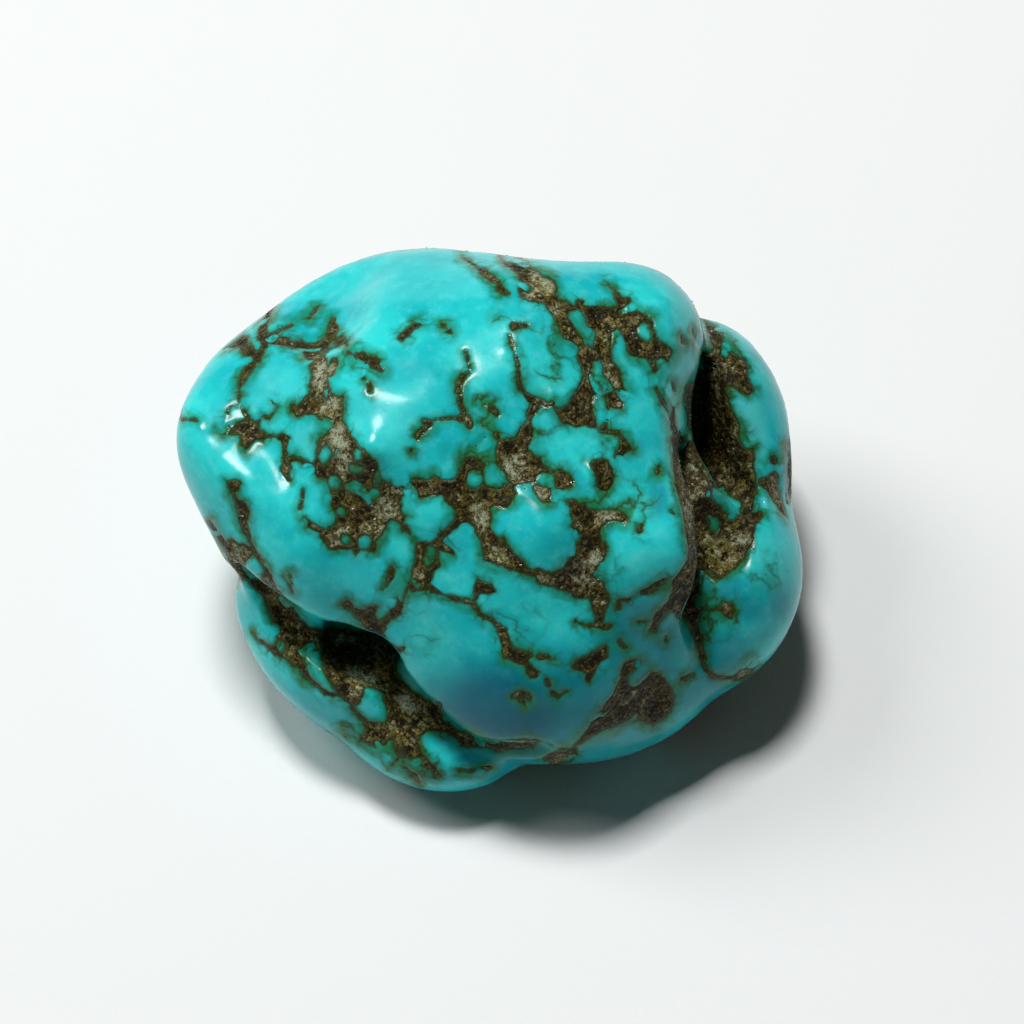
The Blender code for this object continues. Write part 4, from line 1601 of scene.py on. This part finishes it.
def floor_material(settings):
    """Smooth matt card with a faint tooth and wide faint clouds."""
    recipe = Recipe("pale card")
    tooth = recipe.noise(3.0, 5.0, 0.6)
    clouds = recipe.noise(0.02, 2.0)
    card = recipe.mixed(tooth * 0.05, settings.floor, CARD_TOOTH)
    recipe.feed(
        recipe.shader,
        {
            "Base Color": recipe.mixed(clouds * 0.06, card, CARD_CLOUD),
            "Roughness": ranged(tooth, CARD_ROUGHNESS),
            "Specular IOR Level": CARD_SPECULAR,
            "Normal": recipe.bumped(tooth * CARD_RISE),
        },
    )
    return recipe.material


def soft_light(name, towards, side, mirrored, watts):
    """A square lamp in a direction from the face centre, turned towards it.

    Only a mirrored lamp shows as a highlight.
    """
    lamp = bpy.data.lights.new(name, "AREA")
    lamp.size = side * METRES
    lamp.energy = watts
    holder = bpy.data.objects.new(name, lamp)
    towards = np.array(towards) / length(np.array(towards))
    holder.location = (FACE_CENTRE + LAMP_DISTANCE * towards) * METRES
    holder.visible_glossy = mirrored
    holder.rotation_euler = Vector(towards).to_track_quat("Z", "Y").to_euler()
    bpy.context.scene.collection.objects.link(holder)


def colour(name, description, default):
    """A colour setting."""
    return FloatVectorProperty(
        name=name, description=description, subtype="COLOR", default=default
    )


class StoneColours(bpy.types.PropertyGroup):
    """The colours of the turquoise and of its matrix, and the depth of its relief"""

    turquoise: colour("Turquoise", "Main colour of the turquoise", (0.03, 0.66, 0.64))
    turquoise_rich: colour("Rich turquoise", "Colour of its fuller clouds", (0.008, 0.46, 0.5))
    # Pale turquoise is the colour of its milky clouds, and also of the light and highlights painted
    # on through the pale tint.
    turquoise_milk_and_light: colour("Pale turquoise", "Colour of its milky clouds", (0.15, 0.78, 0.75))
    # Deep turquoise is also the colour of the shade painted on the lower slopes.
    turquoise_deep_and_shade: colour("Deep turquoise", "Colour of its deep blue places", (0.001, 0.085, 0.16))
    turquoise_green: colour("Green turquoise", "Colour of its green places", (0.015, 0.2, 0.085))
    fringe: colour("Fringe", "Colour of the turquoise next to matrix", (0.035, 0.045, 0.008))
    matrix_dark: colour("Dark matrix", "Colour of the darkest matrix", (0.012, 0.009, 0.004))
    matrix_brown: colour("Brown matrix", "Colour of the middle of the matrix", (0.085, 0.06, 0.012))
    matrix_olive: colour("Olive matrix", "Colour of the olive matrix", (0.15, 0.13, 0.02))
    matrix_sand: colour("Sandy matrix", "Colour of the palest matrix", (0.37, 0.43, 0.3))
    edge_drop: FloatProperty(
        name="Edge drop",
        description="Millimetres that matrix lies below the turquoise at its edge",
        default=0.06, min=0.0,
    )
    patch_drop: FloatProperty(
        name="Patch drop",
        description="Millimetres more that wide patches lie below it",
        default=0.16, min=0.0,
    )
    grit_height: FloatProperty(
        name="Grit height",
        description="Millimetres that the matrix is uneven by",
        default=0.05, min=0.0,
    )


class GrainSettings(bpy.types.PropertyGroup):
    """The loose-looking crystals of the matrix"""

    count: IntProperty(
        name="Count",
        description="Number of crystals",
        default=9000, min=1, max=24000,
    )
    least: FloatProperty(
        name="Smallest",
        description="Smallest half-width, in millimetres",
        default=0.03, min=0.01,
    )
    most: FloatProperty(
        name="Largest",
        description="Largest half-width, in millimetres",
        default=0.1, min=0.01,
    )
    seed: IntProperty(name="Seed", description="Seed of their places", default=7)


class StageSettings(bpy.types.PropertyGroup):
    """The floor, the lamps and the camera"""

    floor: colour("Floor", "Colour of the card under the stone", (0.86, 0.88, 0.875))
    floor_side: FloatProperty(
        name="Floor side",
        description="Side of the card",
        unit="LENGTH", default=2.4, min=0.1,
    )
    key_watts: FloatProperty(
        name="Key lamp",
        description="Power of the high lamp behind the stone",
        default=2.9, min=0.0,
    )
    side_watts: FloatProperty(
        name="Side lamp",
        description="Power of the lamp on the left",
        default=1.35, min=0.0,
    )
    sky: FloatProperty(
        name="Sky",
        description="Strength of the light from all round",
        default=0.045, min=0.0,
    )
    lens: FloatProperty(
        name="Lens",
        description="Focal length of the camera in millimetres",
        default=154.69, min=10.0,
    )


class NUGGET_OT_skin(bpy.types.Operator):
    """Build the veined skin in place of the plain stone"""

    bl_idname = "nugget.skin"
    bl_label = "Skin"

    def execute(self, context):
        settings = context.scene.stone_colours
        points, triangles = bare_skin(Stone())
        depth, shown = matrix_depth(points, normals_of(points, triangles))
        tints = skin_tints(points, shown)
        points = carved(points, triangles, depth, shown, settings)
        mesh = filled_mesh("nugget_skin", points, triangles, True)
        painted(mesh, "matrix", depth * FACE_STEP)
        for name, strength in tints.items():
            painted(mesh, name, strength)
        skin = shown_piece(mesh, skin_material(settings))
        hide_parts(SOLID)
        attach(skin, BODY)
        return {"FINISHED"}


class NUGGET_OT_grains(bpy.types.Operator):
    """Set small crystals in the matrix of the skin"""

    bl_idname = "nugget.grains"
    bl_label = "Matrix grains"

    def execute(self, context):
        settings = context.scene.grain_settings
        random = np.random.default_rng(settings.seed)
        skin = bpy.data.objects["nugget_skin"].data
        points = numbers_of(skin.vertices, "co", 3).reshape(-1, 3).astype(float) / METRES
        triangles = numbers_of(skin.loops, "vertex_index", kind=np.int32).reshape(-1, 3)
        matrix, sandy, olive = (
            numbers_of(skin.attributes[name].data, "value")[triangles].mean(axis=1)
            for name in ("matrix", "sandy", "olive")
        )
        weights = eased(matrix, *CRYSTAL_START) * (CRYSTALS_WITHOUT_SAND + sandy)
        places, normals, chosen = scattered(points, triangles, weights, settings.count, random)
        growth = random.random(len(places)) ** LARGE_RARITY
        sizes = settings.least + (settings.most - settings.least) * growth
        corners, faces = crystals(places, normals, sizes, random)
        corners[:, 2] = np.maximum(corners[:, 2], 0)
        mesh = filled_mesh("matrix_grains", corners, faces, False)
        tone = TONE_RANDOM * random.random(len(places)) + TONE_SAND * sandy[chosen] - TONE_START
        painted(mesh, "tone", np.repeat(tone, len(OCTAHEDRON)))
        painted(mesh, "olive", np.repeat(olive[chosen], len(OCTAHEDRON)))
        grains = shown_piece(mesh, grain_material(context.scene.stone_colours))
        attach(grains, BODY)
        return {"FINISHED"}


class NUGGET_OT_stage(bpy.types.Operator):
    """Lay the pale floor and set the lamps and the camera"""

    bl_idname = "nugget.stage"
    bl_label = "Stage"

    def execute(self, context):
        settings = context.scene.stage_settings
        scene = context.scene
        half = settings.floor_side / 2 / METRES
        corners = np.array(((-half, -half, 0), (half, -half, 0), (half, half, 0), (-half, half, 0)))
        mesh = filled_mesh("floor", corners, np.array(((0, 1, 2), (0, 2, 3))), False)
        shown_piece(mesh, floor_material(settings))

        soft_light("key lamp", *KEY_LAMP, settings.key_watts)
        soft_light("side lamp", *SIDE_LAMP, settings.side_watts)
        world = bpy.data.worlds.new("pale room")
        world.use_nodes = True
        background = world.node_tree.nodes["Background"]
        background.inputs["Color"].default_value = (*SKY, 1.0)
        background.inputs["Strength"].default_value = settings.sky
        scene.world = world
        scene.view_settings.view_transform = "Standard"

        lens = bpy.data.cameras.new("camera")
        lens.lens = settings.lens
        lens.sensor_width = SENSOR
        lens.clip_start = NEAREST_SEEN
        lens.clip_end = FARTHEST_SEEN
        camera = bpy.data.objects.new("camera", lens)
        eye = (FACE_CENTRE + VIEW_RANGE * FACE_AXES[2]) * METRES
        turn = Matrix(FACE_AXES.tolist()).transposed().to_4x4()
        camera.matrix_world = Matrix.Translation(eye) @ turn
        scene.collection.objects.link(camera)
        scene.camera = camera
        return {"FINISHED"}


class NUGGET_PT_panel(bpy.types.Panel):
    """The nugget's settings and its steps"""

    bl_idname = "NUGGET_PT_panel"
    bl_label = "Turquoise Nugget"
    bl_space_type = "VIEW_3D"
    bl_region_type = "UI"
    bl_category = "Nugget"

    def draw(self, context):
        for group, kind in GROUPS.items():
            box = self.layout.box()
            for name in kind.__annotations__:
                box.prop(getattr(context.scene, group), name)
        for step in STEPS:
            self.layout.operator(step.bl_idname)


GROUPS = {
    "stone_colours": StoneColours,
    "grain_settings": GrainSettings,
    "stage_settings": StageSettings,
}
STEPS = (NUGGET_OT_skin, NUGGET_OT_grains, NUGGET_OT_stage)
CLASSES = (*GROUPS.values(), *STEPS, NUGGET_PT_panel)


def register():
    """Registers the classes and gives each scene its settings."""
    for kind in CLASSES:
        bpy.utils.register_class(kind)
    for name, kind in GROUPS.items():
        setattr(bpy.types.Scene, name, PointerProperty(type=kind))


def unregister():
    """Takes away what register adds."""
    for name in GROUPS:
        delattr(bpy.types.Scene, name)
    for kind in reversed(CLASSES):
        bpy.utils.unregister_class(kind)


def main():
    """Builds the pieces and the stage."""
    register()
    bpy.ops.nugget.skin()
    bpy.ops.nugget.grains()
    bpy.ops.nugget.stage()


if __name__ == "__main__":
    main()
